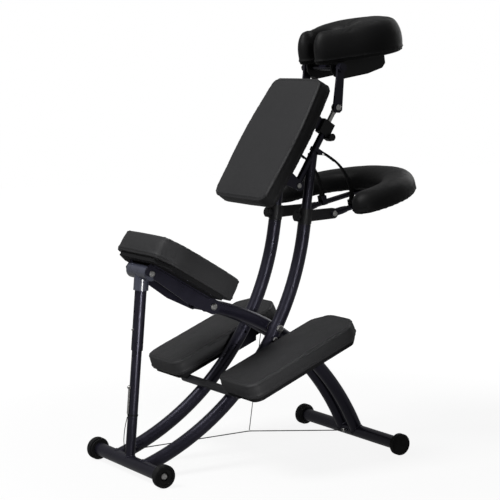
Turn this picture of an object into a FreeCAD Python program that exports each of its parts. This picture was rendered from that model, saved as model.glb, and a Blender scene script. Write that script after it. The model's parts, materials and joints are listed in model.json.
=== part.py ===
import FreeCAD, Part
import functools
import math
import os
import re
import Sketcher

# Folding massage chair. +X is the way the client faces, +Y the client's left, +Z up, the floor at zero.
# The pieces are placed from the rear bar and moved at the end, so that the origin is the middle of the
# chair's floor plan.

V = FreeCAD.Vector
SIDES = (("left", 1), ("right", -1))

SIZES = {
    # fits
    "running": 0.05,
    "soft_gap": 0.3,
    # base: wheels, rear bar, front bar and end caps
    "wheel_radius": 32,
    "wheel_step": 27,
    "wheel_tread": 19,
    "wheel_width": 25,
    "wheel_recess": 4,
    "wheel_face": 200,
    "axle_radius": 5,
    "axle_head": 9,
    "tube_radius": 19,
    "tube_wall": 2,
    "bar_plug": 14,
    "front_bar_x": 762,
    "cap_radius": 31.5,
    "cap_flat": 0.5,
    "cap_length": 28,
    "cap_skirt": 24,
    "front_face": 255,
    # main tubes: an arc that leaves the rear bar at a low slope, then a short straight top
    "main_half": 76,
    "main_arc": 765,
    "main_foot_slope": 17,
    "main_top_slope": 82,
    "main_straight": 16,
    # front leg, crossing the main tubes at the pivot bolt
    "pivot_slope": 60,
    "pivot_radius": 6,
    "leg_half": 34,
    "leg_end": 16,
    # seat
    "hinge_x": 242,
    "hinge_z": 456,
    "hinge_radius": 6,
    "seat_tilt": 30.5,
    "seat_rear": 276,
    "seat_nose": 10,
    "seat_board_front": 28,
    "seat_half": 145,
    "seat_thick": 66,
    "seat_chamfer": 34,
    "board_thick": 12,
    "seat_drop": 15,
    "cheek": 3.5,
    "flange": 15,
    # seat post
    "post_back": 225.5,
    "post_drop": 7.5,
    "post_bolt": 5,
    "post_inner": 14,
    "post_outer": 16.5,
    "post_sleeve_foot": 314,
    "post_overlap": 85,
    "post_head_radius": 21.5,
    "hole_pitch": 25.4,
    "hole_radius": 3.5,
    "button_height": 372,
    "pin_height": 210,
    # leg pads
    "pad_x": 417,
    "pad_half_gap": 103.5,
    "pad_width": 194,
    "pad_length": 406,
    "pad_thick": 46,
    "pad_tilt": 22.3,
    "pad_front_trim": 44,
    "pad_rear_round": 38,
    "cross_slope": 42,
    "cross_radius": 12,
    "cross_half": 150,
    # chest support
    "chest_x": 373,
    "chest_z": 735,
    "chest_tilt": 31.8,
    "chest_top_half": 124,
    "chest_mid_half": 150,
    "chest_low_half": 138,
    "chest_length": 405,
    "chest_foot": 3,
    "chest_thick": 38,
    "chest_board": 10,
    "chest_back": 20,
    "inner_radius": 14,
    "inner_below": 80,
    "inner_above": 206,
    "bush_lip": 3,
    "height_knob": 15.5,
    "height_knob_length": 15,
    "rail_radius": 10,
    "rail_back": 88,
    "rail_foot": 104,
    "rail_head": 300,
    "rail_bolt": 116,
    "clamp_foot": 284,
    "clamp_height": 42,
    "clamp_half": 12,
    "clamp_knob": 11,
    "clamp_knob_length": 12,
    "hanger_back": 106.5,
    "hanger_up": 235,
    "hanger_pin": 4,
    # face cradle
    "rod_radius": 7,
    "rod_foot": 170,
    "rod_eye_half": 4,
    "knuckle_up": 375,
    "post_plate": 8,
    "cradle_x": 656,
    "cradle_z": 1121,
    "cradle_tilt": 9.5,
    "cradle_round": 140,
    "cradle_centre": 127,
    "cradle_tip": 30,
    "cradle_tip_x": -26,
    "cradle_mouth": 10,
    "cradle_slot": 42,
    "cradle_slot_end": 38,
    "cradle_thick": 93,
    "cross_rod": 8,
    "tray_lift": 15,
    "tray_board": 9.5,
    "web_half": 59.5,
    # armrest
    "arm_reach": 95.6,
    "arm_up": 41.5,
    "arm_plate": 14,
    "arm_nose": 15.2,
    "arm_tilt": 12,
    "arm_bolt": 5,
    "sleeve_radius": 11,
    "sleeve_length": 48,
    "sleeve_grip": 25,
    "strut_radius": 8,
    "strut_length": 245,
    "arm_ring": 20,
    "arm_ring_head": 46,
    "height_knob_up": 22,
    "arm_outer": 250,
    "arm_outer_centre": 63,
    "arm_inner_centre": 41,
    "arm_tip": 46,
    "arm_tip_angle": 98,
    "arm_thick": 54,
    "arm_board": 8,
    "strap_width": 16,
    "strap_thick": 2,
    "strap_x": 75,
    "strap_lift": 16,
    "strap_bow": 26,
    # cords
    "cable_radius": 1.5,
    "lanyard_radius": 1.2,
}

doc = FreeCAD.newDocument("massage_chair")
sheet = doc.addObject("Spreadsheet::Sheet", "Sizes")
for row, (name, number) in enumerate(SIZES.items(), 1):
    sheet.set(f"A{row}", name)
    sheet.set(f"B{row}", str(number))
    sheet.setAlias(f"B{row}", name)
doc.recompute()

nodes = []
worked_out = []


def size(name):
    return float(sheet.get(name))


def formula(text):
    """A sum of products of size names and numbers, as an expression on the sheet."""
    return re.sub(r"([A-Za-z]\w*)", r"Sizes.\1", text)


def value(text):
    """The same sum of products as a number."""
    total = 0.0
    for sign, product in re.findall(r"([-+]?)\s*([^-+]+)", text):
        amount = 1.0
        for mark, word in re.findall(r"([*/]?)\s*([\w.]+)", product):
            factor = size(word) if word[0].isalpha() else float(word)
            amount = amount / factor if mark == "/" else amount * factor
        total += -amount if sign == "-" else amount
    return total


def derived(name, number):
    """Put a size that follows from others on the sheet, beside the driving ones."""
    row = len(SIZES) + len(worked_out) + 2
    worked_out.append(name)
    sheet.set(f"A{row}", name)
    sheet.set(f"B{row}", str(number))
    sheet.setAlias(f"B{row}", name)
    doc.recompute()


def minus(text):
    """The same sum with every sign turned round."""
    turned_round = text.translate(str.maketrans("+-", "-+"))
    return turned_round[1:].strip() if turned_round[0] == "+" else f"-{turned_round}"


def keep(piece, label):
    piece.Label = label
    nodes.append(piece)
    return piece


# Places and frames


def at(x, z, turn=0.0, y=0.0):
    """A frame in the chair: turned about +Y, which tips its own x down at the front when positive."""
    return FreeCAD.Placement(V(x, y, z), FreeCAD.Rotation(V(0, 1, 0), turn))


def lying(x=0.0, y=0.0, z=0.0, way=V(0, 1, 0)):
    """A place for a piece made along its own z, laid along another direction."""
    return FreeCAD.Placement(V(x, y, z), FreeCAD.Rotation(V(0, 0, 1), way))


def seen_from(frame, x, z):
    """A point of the chair's middle plane in a frame's own coordinates."""
    spot = frame.inverse().multVec(V(x, 0, z))
    return spot.x, spot.z


# Sketches and solids


def new_body(label):
    return doc.addObject("PartDesign::Body", label)


def new_sketch(body, role, name):
    sketch = body.newObject("Sketcher::SketchObject", f"{body.Name}_{name}")
    plane = next(item for item in body.Origin.OriginFeatures if item.Role == role)
    sketch.AttachmentSupport = [(plane, "")]
    sketch.MapMode = "FlatFace"
    return sketch


def pin_down(sketch, geometry, point, across, up):
    for kind, text, axis in (("DistanceX", across, -2), ("DistanceY", up, -1)):
        number = value(text)
        if number == 0:
            sketch.addConstraint(Sketcher.Constraint("PointOnObject", geometry, point, axis))
            continue
        index = sketch.addConstraint(Sketcher.Constraint(kind, -1, 1, geometry, point, number))
        sketch.setExpression(f"Constraints[{index}]", formula(text))


def draw_outline(sketch, points):
    first = sketch.GeometryCount
    corners = [V(value(x), value(y), 0) for x, y in points]
    count = len(points)
    for i, corner in enumerate(corners):
        sketch.addGeometry(Part.LineSegment(corner, corners[(i + 1) % count]), False)
    for i, (x, y) in enumerate(points):
        following = first + (i + 1) % count
        sketch.addConstraint(Sketcher.Constraint("Coincident", first + i, 2, following, 1))
        pin_down(sketch, first + i, 1, x, y)


def draw_circle(sketch, across, up, radius):
    circle = Part.Circle(V(value(across), value(up), 0), V(0, 0, 1), value(radius))
    index = sketch.addGeometry(circle, False)
    pin_down(sketch, index, 3, across, up)
    rule = sketch.addConstraint(Sketcher.Constraint("Radius", index, value(radius)))
    sketch.setExpression(f"Constraints[{rule}]", formula(radius))


def pad(body, sketch, length):
    feature = body.newObject("PartDesign::Pad", f"{body.Name}_pad")
    feature.Profile = sketch
    feature.SideType = "Symmetric"
    feature.setExpression("Length", formula(length))
    doc.recompute()
    return feature


def pocket_through(body, sketch):
    before = body.Shape.Volume
    feature = body.newObject("PartDesign::Pocket", f"{body.Name}_pocket")
    feature.Profile = sketch
    feature.Type = "ThroughAll"
    feature.SideType = "Symmetric"
    doc.recompute()
    if body.Shape.Volume >= before:
        raise RuntimeError(f"{body.Name}: a pocket cut nothing")
    return feature


def round_corners(body, feature, way, radius):
    """Round the edges of a padded outline that run along the pad."""
    names = []
    for number, edge in enumerate(feature.Shape.Edges, 1):
        if isinstance(edge.Curve, Part.Line) and edge.tangentAt(edge.FirstParameter).cross(way).Length < 1e-6:
            names.append(f"Edge{number}")
    fillet = body.newObject("PartDesign::Fillet", f"{body.Name}_fillet")
    fillet.Base = (feature, names)
    fillet.setExpression("Radius", formula(radius))
    doc.recompute()
    return fillet


def turned(label, profile):
    """A turned piece about its own z: the profile's points are (radius, height)."""
    body = new_body(label)
    sketch = new_sketch(body, "XZ_Plane", "profile")
    draw_outline(sketch, profile)
    feature = body.newObject("PartDesign::Revolution", f"{label}_turned")
    feature.Profile = sketch
    feature.ReferenceAxis = (sketch, ["V_Axis"])
    feature.Angle = 360
    doc.recompute()
    return body


def plate(label, points, thickness, corner="", holes=(), role="XZ_Plane"):
    """A flat plate about its own middle plane, with rounded corners and round holes through it."""
    body = new_body(label)
    sketch = new_sketch(body, role, "outline")
    draw_outline(sketch, points)
    feature = pad(body, sketch, thickness)
    if corner:
        round_corners(body, feature, V(0, 1, 0) if role == "XZ_Plane" else V(0, 0, 1), corner)
    for number, (across, up, radius) in enumerate(holes):
        hole = new_sketch(body, role, f"hole{number}")
        draw_circle(hole, across, up, radius)
        pocket_through(body, hole)
    return body


def bent_tube(label, radius, wall, straight, bend, sweep, holes=()):
    """A tube along its own z: a straight run, then a bend towards its own +x. Holes run along y."""
    body = new_body(label)
    for name in ("straight", "bend"):
        section = new_sketch(body, "XY_Plane", f"{name}_section")
        draw_circle(section, "0", "0", radius)
        draw_circle(section, "0", "0", f"{radius} - {wall}")
        if name == "straight":
            run = body.newObject("PartDesign::Pad", f"{label}_run")
            run.Profile = section
            run.setExpression("Length", formula(straight))
            doc.recompute()
            continue
        section.setExpression(".AttachmentOffset.Base.z", formula(straight))
        centre = value(bend)
        axis = section.addGeometry(Part.LineSegment(V(centre, -1, 0), V(centre, 1, 0)), True)
        pin_down(section, axis, 1, bend, "-1")
        pin_down(section, axis, 2, bend, "1")
        turn = body.newObject("PartDesign::Revolution", f"{label}_turn")
        turn.Profile = section
        turn.ReferenceAxis = (section, ["Axis0"])
        turn.setExpression("Angle", formula(sweep))
        doc.recompute()
    for number, (x, z, hole_radius) in enumerate(holes):
        hole = new_sketch(body, "XZ_Plane", f"hole{number}")
        circle = hole.addGeometry(Part.Circle(V(x, z, 0), V(0, 0, 1), value(hole_radius)), False)
        rule = hole.addConstraint(Sketcher.Constraint("Radius", circle, value(hole_radius)))
        hole.setExpression(f"Constraints[{rule}]", formula(hole_radius))
        pocket_through(body, hole)
    return body


def tube(label, radius, bore, foot, head):
    """A straight tube about its own z between two heights."""
    return turned(label, [(bore, foot), (radius, foot), (radius, head), (bore, head)])


def cylinder(label, radius, height, placement):
    solid = doc.addObject("Part::Cylinder", label)
    solid.setExpression("Radius", formula(radius))
    solid.setExpression("Height", formula(height))
    solid.Placement = placement
    return solid


def box(label, length, width, height, placement):
    solid = doc.addObject("Part::Box", label)
    for name, text in (("Length", length), ("Width", width), ("Height", height)):
        solid.setExpression(name, formula(text))
    solid.Placement = placement
    return solid


def cut(label, base, *tools):
    result = doc.addObject("Part::Cut", label)
    result.Base = base
    result.Tool = tools[0] if len(tools) == 1 else fuse(f"{label}_tools", *tools)
    return result


def fuse(label, *members):
    result = doc.addObject("Part::MultiFuse", label)
    result.Shapes = list(members)
    return result


def group(label, members):
    result = doc.addObject("Part::Compound", label)
    result.Links = members
    return keep(result, label)


def formed(label, shape, placement):
    """A piece whose form is lofted or swept here, from sizes read off the sheet."""
    piece = doc.addObject("Part::Feature", label)
    piece.Shape = shape
    piece.Placement = placement
    return piece


# Soft forms


def line(start, end):
    return Part.LineSegment(start, end).toShape()


def arc(start, middle, end):
    return Part.Arc(start, middle, end).toShape()


def arc_about(centre, radius, start, end):
    """An arc about a centre between two angles in degrees, in the XY plane."""
    spots = []
    for angle in (start, (start + end) / 2, end):
        spots.append(centre + radius * V(math.cos(math.radians(angle)), math.sin(math.radians(angle)), 0))
    return arc(*spots)


def rounded_outline(corners, inset):
    """A convex outline of (x, y, radius) corners, counter-clockwise, drawn in by an inset."""
    count = len(corners)
    spots = [V(x, y, 0) for x, y, _ in corners]
    ways = [(spots[(i + 1) % count] - spots[i]).normalize() for i in range(count)]
    moved = []
    for i in range(count):
        before = ways[i - 1]
        after = ways[i]
        inward = V(-before.y, before.x, 0) + V(-after.y, after.x, 0)
        moved.append(spots[i] + inward * (inset / (1 + before.dot(after))))
    edges = []
    ends = []
    for i, (_, _, radius) in enumerate(corners):
        turn = ways[i - 1].getAngle(ways[i])
        round_off = max(radius - inset, 5.0)
        reach = round_off * math.tan(turn / 2)
        start = moved[i] - ways[i - 1] * reach
        end = moved[i] + ways[i] * reach
        inner = (ways[i] - ways[i - 1]).normalize()
        middle = moved[i] + inner * (round_off / math.cos(turn / 2) - round_off)
        ends.append((start, middle, end))
    for i in range(count):
        edges.append(arc(*ends[i]))
        edges.append(line(ends[i][2], ends[(i + 1) % count][0]))
    return Part.Wire(edges)


def mirrored_corners(half):
    """The whole outline from its half at +y: the corners run from the front to the rear."""
    other = [(x, -y, radius) for x, y, radius in reversed(half)]
    return half + other


BOARD_INSET = 14.0
FIRM = ((0.0, 4.5), (0.1, 1.0), (0.45, 0.0), (0.8, 1.0), (0.92, 4.0), (0.975, 10.0), (1.0, 30.0))
PLUMP = ((0.0, 9.0), (0.1, 2.5), (0.4, 0.0), (0.66, 2.0), (0.82, 6.5), (0.93, 14.0), (1.0, 26.0))


def cushion(label, outline, thick, placement, profile=FIRM, skirt=0.0):
    """A crowned cushion: its sides draw in to the seams at top and bottom, and its top domes.

    A skirt takes its cover down round the edge of the board that it lies on.
    """
    wires = []
    for share, inset in profile:
        wire = outline(inset)
        wire.translate(V(0, 0, share * (thick + skirt) - skirt))
        wires.append(wire)
    solid = Part.makeLoft(wires, True, True)
    if skirt:
        recess = outline(BOARD_INSET - size("soft_gap"))
        recess.translate(V(0, 0, -2 * skirt))
        solid = solid.cut(Part.Face(recess).extrude(V(0, 0, 2 * skirt)))
    return formed(label, solid, placement)


def slab(label, wire, thick, placement):
    return formed(label, Part.Face(wire).extrude(V(0, 0, thick)), placement)


def cord(label, points, radius, bend=None):
    """A round cord along straight runs joined by tangent arcs, as large as the runs allow."""
    spots = [V(*point) for point in points]
    edges = []
    start = spots[0]
    radii = []
    for before, corner, after in zip(spots, spots[1:], spots[2:]):
        run_in = corner - before
        run_out = after - corner
        turn = run_in.getAngle(run_out)
        largest = 0.45 * min(run_in.Length, run_out.Length) / math.tan(turn / 2)
        bow = min(bend, largest) if bend else largest
        radii.append(round(bow, 1))
        reach = bow * math.tan(turn / 2)
        way_in = V(run_in).normalize()
        way_out = V(run_out).normalize()
        leave = corner - way_in * reach
        arrive = corner + way_out * reach
        inner = (way_out - way_in).normalize()
        middle = corner + inner * (bow / math.cos(turn / 2) - bow)
        edges.append(line(start, leave))
        edges.append(arc(leave, middle, arrive))
        start = arrive
    edges.append(line(start, spots[-1]))
    path = Part.Wire(edges)
    ring = Part.Wire(Part.Circle(spots[0], spots[1] - spots[0], radius).toShape())
    solid = path.makePipeShell([ring], True, False)
    wanted = math.pi * radius**2 * path.Length
    print(f"{label}: length {path.Length:.1f}, radii {radii}, volume ratio {solid.Volume / wanted:.4f}")
    return keep(formed(label, solid, FreeCAD.Placement()), label)


def crescent(inset):
    """The armrest's outline: an outer and an inner circle, joined by round tips."""
    outer_centre = V(size("arm_outer_centre"), 0, 0)
    inner_centre = V(size("arm_inner_centre"), 0, 0)
    tip = size("arm_tip")
    outer_angle = size("arm_tip_angle")
    spread = math.radians(outer_angle)
    tip_centre = outer_centre + (size("arm_outer") - tip) * V(math.cos(spread), math.sin(spread), 0)
    inner_way = tip_centre - inner_centre
    inner_angle = math.degrees(math.atan2(inner_way.y, inner_way.x))
    other_tip = V(tip_centre.x, -tip_centre.y, 0)
    outer = size("arm_outer") - inset
    inner = inner_way.Length - tip + inset
    nose = tip - inset
    half_way = (outer_angle + inner_angle + 180) / 2
    edges = [
        arc_about(outer_centre, outer, 0, outer_angle),
        arc_about(tip_centre, nose, outer_angle, half_way),
        arc_about(tip_centre, nose, half_way, inner_angle + 180),
        arc_about(inner_centre, inner, inner_angle, 0),
        arc_about(inner_centre, inner, 0, -inner_angle),
        arc_about(other_tip, nose, -inner_angle - 180, -half_way),
        arc_about(other_tip, nose, -half_way, -outer_angle),
        arc_about(outer_centre, outer, -outer_angle, 0),
    ]
    return Part.Wire(edges)


def horseshoe(inset):
    """The face cushion's outline: a round front, tapering arms with round tips, and the face slot."""
    front = V(size("cradle_centre"), 0, 0)
    tip_centre = V(size("cradle_tip_x"), size("cradle_mouth") + size("cradle_tip"), 0)
    slot_centre = V(size("cradle_slot_end"), 0, 0)
    big = size("cradle_round")
    small = size("cradle_tip")
    slot = size("cradle_slot")
    between = tip_centre - front
    lean = math.degrees(math.atan2(between.y, between.x))
    side = lean - math.degrees(math.acos((big - small) / between.Length))
    inward = slot_centre - tip_centre
    heel = math.degrees(math.atan2(inward.y, inward.x) - math.acos((small + slot) / inward.Length))
    big -= inset
    small -= inset
    slot += inset
    way = V(math.cos(math.radians(side)), math.sin(math.radians(side)), 0)
    turn = V(math.cos(math.radians(heel)), math.sin(math.radians(heel)), 0)
    half = [
        arc_about(front, big, 0, side),
        line(front + way * big, tip_centre + way * small),
        arc_about(tip_centre, small, side, 180),
        arc_about(tip_centre, small, 180, heel + 360),
        line(tip_centre + turn * small, slot_centre - turn * slot),
        arc_about(slot_centre, slot, heel + 180, 0),
    ]
    other = []
    for edge in reversed(half):
        other.append(edge.mirror(V(0, 0, 0), V(0, 1, 0)))
    return Part.Wire(half + other)


# Shared places, worked out from the sizes

wheel_z = size("wheel_radius")
tube_radius = size("tube_radius")
foot_slope = math.radians(size("main_foot_slope"))
top_slope = math.radians(size("main_top_slope"))


def main_point(slope, offset=0.0):
    """A point on the main tubes' arc at a slope, or beside it on the inner side."""
    reach = size("main_arc") - offset
    foot = size("main_arc")
    x = reach * math.sin(slope) - foot * math.sin(foot_slope)
    z = wheel_z + foot * math.cos(foot_slope) - reach * math.cos(slope)
    return V(x, 0, z)


top_way = V(math.cos(top_slope), 0, math.sin(top_slope))
main_top = main_point(top_slope) + top_way * size("main_straight")
top_turn = 90 - size("main_top_slope")
top_frame = at(main_top.x, main_top.z, top_turn)
pivot = main_point(math.radians(size("pivot_slope")))
ear_hold = main_point(math.radians(size("pivot_slope") - 2.6))
hinge = V(size("hinge_x"), 0, size("hinge_z"))
front_axis = V(size("front_bar_x"), 0, size("cap_radius") - size("cap_flat"))
seat_frame = at(hinge.x, hinge.z, size("seat_tilt"))
post_pin = seat_frame.multVec(V(-size("post_back"), 0, -size("post_drop")))
post_lean = math.degrees(math.atan2(post_pin.x, post_pin.z - wheel_z))
post_frame = at(0, wheel_z, post_lean)
post_length = (post_pin - V(0, 0, wheel_z)).Length
chest_frame = at(size("chest_x"), size("chest_z"), size("chest_tilt"))
knuckle = chest_frame.multVec(V(size("rail_back"), 0, size("knuckle_up")))
cradle_pivot = V(size("cradle_x"), 0, size("cradle_z"))
cradle_frame = at(cradle_pivot.x, cradle_pivot.z, -size("cradle_tilt"))
arm_pivot = top_frame.multVec(V(size("arm_reach"), 0, size("arm_up")))
arm_frame = at(arm_pivot.x, arm_pivot.z, -size("arm_tilt"))


def bolt(label, radius, head, head_thick, half_face, placement):
    """A bolt along y with a low domed head at both faces, each standing at a distance from the middle."""
    profile = [
        ("0", f"{minus(half_face)} - {head_thick}"),
        (f"{head}*0.7", f"{minus(half_face)} - {head_thick}"),
        (head, f"{minus(half_face)} - {head_thick}*0.5"),
        (head, minus(half_face)),
        (radius, minus(half_face)),
        (radius, half_face),
        (head, half_face),
        (head, f"{half_face} + {head_thick}*0.5"),
        (f"{head}*0.7", f"{half_face} + {head_thick}"),
        ("0", f"{half_face} + {head_thick}"),
    ]
    piece = turned(label, profile)
    piece.Placement = placement
    return piece


def stud(label, radius, head, head_thick, length, placement):
    """A headed pin: its shank runs up from zero, and its domed head stands on the far end."""
    profile = [
        ("0", "0"),
        (radius, "0"),
        (radius, length),
        (head, length),
        (head, f"{length} + {head_thick}*0.5"),
        (f"{head}*0.7", f"{length} + {head_thick}"),
        ("0", f"{length} + {head_thick}"),
    ]
    piece = turned(label, profile)
    piece.Placement = placement
    return piece


def knob(label, radius, length, reach, placement):
    """A fluted hand knob along its own z, on a plain shank that reaches down into its boss."""
    body = turned(
        label,
        [("0", minus(reach)), ("4", minus(reach)), ("4", "0"), (f"{radius}*0.55", "0"),
         (f"{radius}*0.6", f"{length}*0.25"), (radius, f"{length}*0.35"), (radius, f"{length}*0.8"),
         (f"{radius}*0.8", length), ("0", length)],
    )
    flute = new_sketch(body, "XY_Plane", "flute")
    draw_circle(flute, f"{radius}*1.17", "0", f"{radius}*0.28")
    groove = pocket_through(body, flute)
    ring = body.newObject("PartDesign::PolarPattern", f"{label}_flutes")
    ring.Originals = [groove]
    ring.Axis = (flute, ["N_Axis"])
    ring.Angle = 360
    ring.Occurrences = 6
    body.Tip = ring
    doc.recompute()
    body.Placement = placement
    return keep(body, label)


# Base


def hollow_bar(label, half_length, axle):
    """A bar turned about its own z, hollow between two end plugs that are bored for the axle bolts."""
    bore = "tube_radius - tube_wall"
    foot = minus(half_length)
    return turned(
        label,
        [(axle, half_length), ("tube_radius", half_length), ("tube_radius", foot), (axle, foot),
         (axle, f"{foot} + bar_plug"), (bore, f"{foot} + bar_plug"), (bore, f"{half_length} - bar_plug"),
         (axle, f"{half_length} - bar_plug")],
    )


def make_rear_base():
    bar = hollow_bar("rear_bar", "wheel_face - wheel_width - 0.5", "axle_radius + running")
    bar.Placement = lying(z=wheel_z)
    keep(bar, "rear_bar")
    bolts = []
    for side, sign in SIDES:
        wheel = turned(
            f"wheel_{side}",
            [("axle_radius + running", "0"), ("wheel_step", "0"), ("wheel_step", "wheel_width - wheel_tread"),
             ("wheel_radius - 1.5", "wheel_width - wheel_tread"),
             ("wheel_radius", "wheel_width - wheel_tread + 1.5"), ("wheel_radius", "wheel_width - 3"),
             ("wheel_radius - 3", "wheel_width"), ("wheel_step - 3", "wheel_width"),
             ("wheel_step - 5", "wheel_width - wheel_recess"),
             ("axle_head + 4", "wheel_width - wheel_recess - 1"),
             ("axle_head + 2", "wheel_width - 8"), ("axle_radius + running", "wheel_width - 8")],
        )
        inner_face = size("wheel_face") - size("wheel_width")
        wheel.Placement = lying(0, sign * inner_face, wheel_z, V(0, sign, 0))
        keep(wheel, f"wheel_{side}")
        start = inner_face - size("bar_plug")
        bolts.append(
            stud(f"axle_bolt_{side}", "axle_radius", "axle_head", "5",
                 "bar_plug + wheel_width - 8 + soft_gap",
                 lying(0, sign * start, wheel_z, V(0, sign, 0)))
        )
    group("axle_bolts", bolts)


def make_main_tubes():
    turn = 270 - size("main_top_slope")
    frame = at(main_top.x, main_top.z, turn)
    bolt_spot = seen_from(frame, pivot.x, pivot.z)
    ear_spot = seen_from(frame, ear_hold.x, ear_hold.z)
    for side, sign in SIDES:
        body = bent_tube(f"main_bend_{side}", "tube_radius", "tube_wall", "main_straight", "main_arc",
                         "main_top_slope - main_foot_slope", [(*bolt_spot, "pivot_radius"), (*ear_spot, "4")])
        body.Placement = at(main_top.x, main_top.z, turn, sign * size("main_half"))
        bar = cylinder(f"main_cope_{side}", "tube_radius", "wheel_face*2",
                       lying(0, -size("wheel_face"), wheel_z))
        keep(cut(f"main_tube_{side}", body, bar), f"main_tube_{side}")
    fixings = [bolt("pivot_pin", "pivot_radius - running", "11", "6", "main_half + tube_radius + soft_gap",
                    lying(pivot.x, 0, pivot.z))]
    for side, sign in SIDES:
        inner = size("leg_half") + tube_radius
        washer = tube(f"pivot_washer_{side}", "15", "pivot_radius", "soft_gap",
                      "main_half - tube_radius - leg_half - tube_radius - soft_gap")
        washer.Placement = lying(pivot.x, sign * inner, pivot.z, V(0, sign, 0))
        fixings.append(washer)
    group("pivot_bolt", fixings)


def make_bushes():
    """Moulded bushes in the tops of the main tubes, each with a lip on the tube's end."""
    bushes = []
    for side, sign in SIDES:
        bush = turned(
            f"tube_bush_{side}",
            [("inner_radius + running", minus("main_straight")),
             ("tube_radius - tube_wall", minus("main_straight")), ("tube_radius - tube_wall", "0"),
             ("tube_radius", "0"), ("tube_radius", "bush_lip - 1"),
             ("tube_radius - 1", "bush_lip"), ("inner_radius + running", "bush_lip")],
        )
        bush.Placement = top_frame * FreeCAD.Placement(V(0, sign * size("main_half"), 0), FreeCAD.Rotation())
        bushes.append(bush)
    group("tube_bushes", bushes)


def make_post_stub():
    """The lower post, welded to the rear bar, with its release pin, ring, lanyard and cable anchor."""
    top = "post_sleeve_foot + post_overlap"
    stub = tube("stub_tube", "post_inner", "post_inner - tube_wall", "0", top)
    stub.Placement = post_frame
    holes = []
    for name, height, radius in (("button", "button_height", "hole_radius + running"),
                                 ("pin", "pin_height", "3 + running")):
        holes.append(cylinder(f"stub_{name}_hole", radius, "post_inner",
                              post_frame * lying(0, 0, size(height), V(-1, 0, 0))))
    bar = cylinder("stub_cope", "tube_radius", "wheel_face", lying(0, -size("wheel_face") / 2, wheel_z))
    keep(cut("post_stub", stub, bar, *holes), "post_stub")
    height = size("pin_height")
    pin = turned(
        "pin_shank",
        [("0", "-6"), ("3", "-6"), ("3", "post_inner + 2"), ("4.5", "post_inner + 2"),
         ("4.5", "post_inner + 6"), ("3", "post_inner + 7.5"), ("0", "post_inner + 7.5")],
    )
    pin.Placement = post_frame * lying(0, 0, height, V(-1, 0, 0))
    strap_at = V(-size("post_inner") - 3.5, -3.5, height - 74)
    strap = box("pin_strap", "2", "7", "72", post_frame * FreeCAD.Placement(strap_at, FreeCAD.Rotation()))
    eye = cylinder("pin_eye", "6", "2", post_frame * lying(-size("post_inner") - 1.5, 0, height, V(-1, 0, 0)))
    keep(fuse("release_pin", pin, strap, eye), "release_pin")
    ring = turned("pin_ring", [("post_inner + running", "0"), ("post_inner + 1.2", "0"),
                               ("post_inner + 1.2", "4"), ("post_inner + running", "4")])
    ring.Placement = post_frame * FreeCAD.Placement(V(0, 0, height - 80), FreeCAD.Rotation())
    keep(ring, "pin_ring")
    lug = cylinder("anchor_eye", "5", "6", lying(22, -3, 66))
    tab = box("anchor_tab", "8", "6", "10", at(14, 61, 0, -3))
    stub_skin = cylinder("anchor_skin", "post_inner", "120", post_frame)
    keep(cut("cable_anchor", fuse("anchor_body", lug, tab), stub_skin), "cable_anchor")


def make_front_leg():
    leg = [hinge, pivot, front_axis]
    ring = arc(*leg).Curve
    centre = ring.Center
    radius = ring.Radius
    way = V(hinge.z - centre.z, 0, centre.x - hinge.x).normalize()
    turn = math.degrees(math.atan2(way.x, way.z))
    start = hinge - way * size("leg_end")
    sweep = math.degrees((hinge - centre).getAngle(front_axis - centre))
    derived("leg_arc", radius)
    derived("leg_sweep", sweep)
    frame = at(start.x, start.z, turn)
    holes = []
    for spot, hole in ((hinge, "hinge_radius"), (pivot, "pivot_radius")):
        holes.append((*seen_from(frame, spot.x, spot.z), hole))
    for side, sign in SIDES:
        body = bent_tube(f"leg_bend_{side}", "tube_radius", "tube_wall", "leg_end", "leg_arc", "leg_sweep",
                         holes)
        body.Placement = at(start.x, start.z, turn, sign * size("leg_half"))
        bar = cylinder(f"leg_cope_{side}", "tube_radius", "front_face*2",
                       lying(front_axis.x, -size("front_face"), front_axis.z))
        keep(cut(f"leg_tube_{side}", body, bar), f"leg_tube_{side}")
    hinge_bolt = bolt("seat_hinge_bolt", "hinge_radius - running", "10", "5",
                      "leg_half + tube_radius + soft_gap + cheek + soft_gap", lying(hinge.x, 0, hinge.z))
    keep(hinge_bolt, "seat_hinge_bolt")
    spacer = tube("leg_spacer", "12", "pivot_radius", "-leg_half + tube_radius + soft_gap",
                  "leg_half - tube_radius - soft_gap")
    spacer.Placement = lying(pivot.x, 0, pivot.z)
    keep(spacer, "leg_spacer")
    bar = hollow_bar("front_bar", "front_face - 4", "2")
    bar.Placement = lying(front_axis.x, 0, front_axis.z)
    keep(bar, "front_bar")
    caps = []
    for side, sign in SIDES:
        cap = turned(
            f"cap_turned_{side}",
            [("0", "cap_length - 3.9"), ("tube_radius", "cap_length - 3.9"), ("tube_radius", "0"),
             ("cap_skirt", "0"), ("cap_skirt + 2", "4"), ("cap_radius - 2", "6"), ("cap_radius", "9"),
             ("cap_radius", "cap_length - 5"), ("cap_radius - 4", "cap_length - 0.8"), ("0", "cap_length")],
        )
        cap.Placement = lying(front_axis.x, sign * (size("front_face") - size("cap_length")), front_axis.z,
                              V(0, sign, 0))
        floor_y = sign * size("front_face") - size("cap_length")
        floor = box(f"cap_floor_{side}", "cap_radius*2", "cap_length*2", "10",
                    at(front_axis.x - size("cap_radius"), -10, 0, floor_y))
        caps.append(cut(f"front_cap_{side}", cap, floor))
    group("front_caps", caps)
    foot_at = lying(front_axis.x - tube_radius, 0, front_axis.z - 2, V(-1, 0, 0))
    keep(stud("foot_bolt", "3", "6", "5", "6", foot_at), "foot_bolt")


# Seat and post


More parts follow.
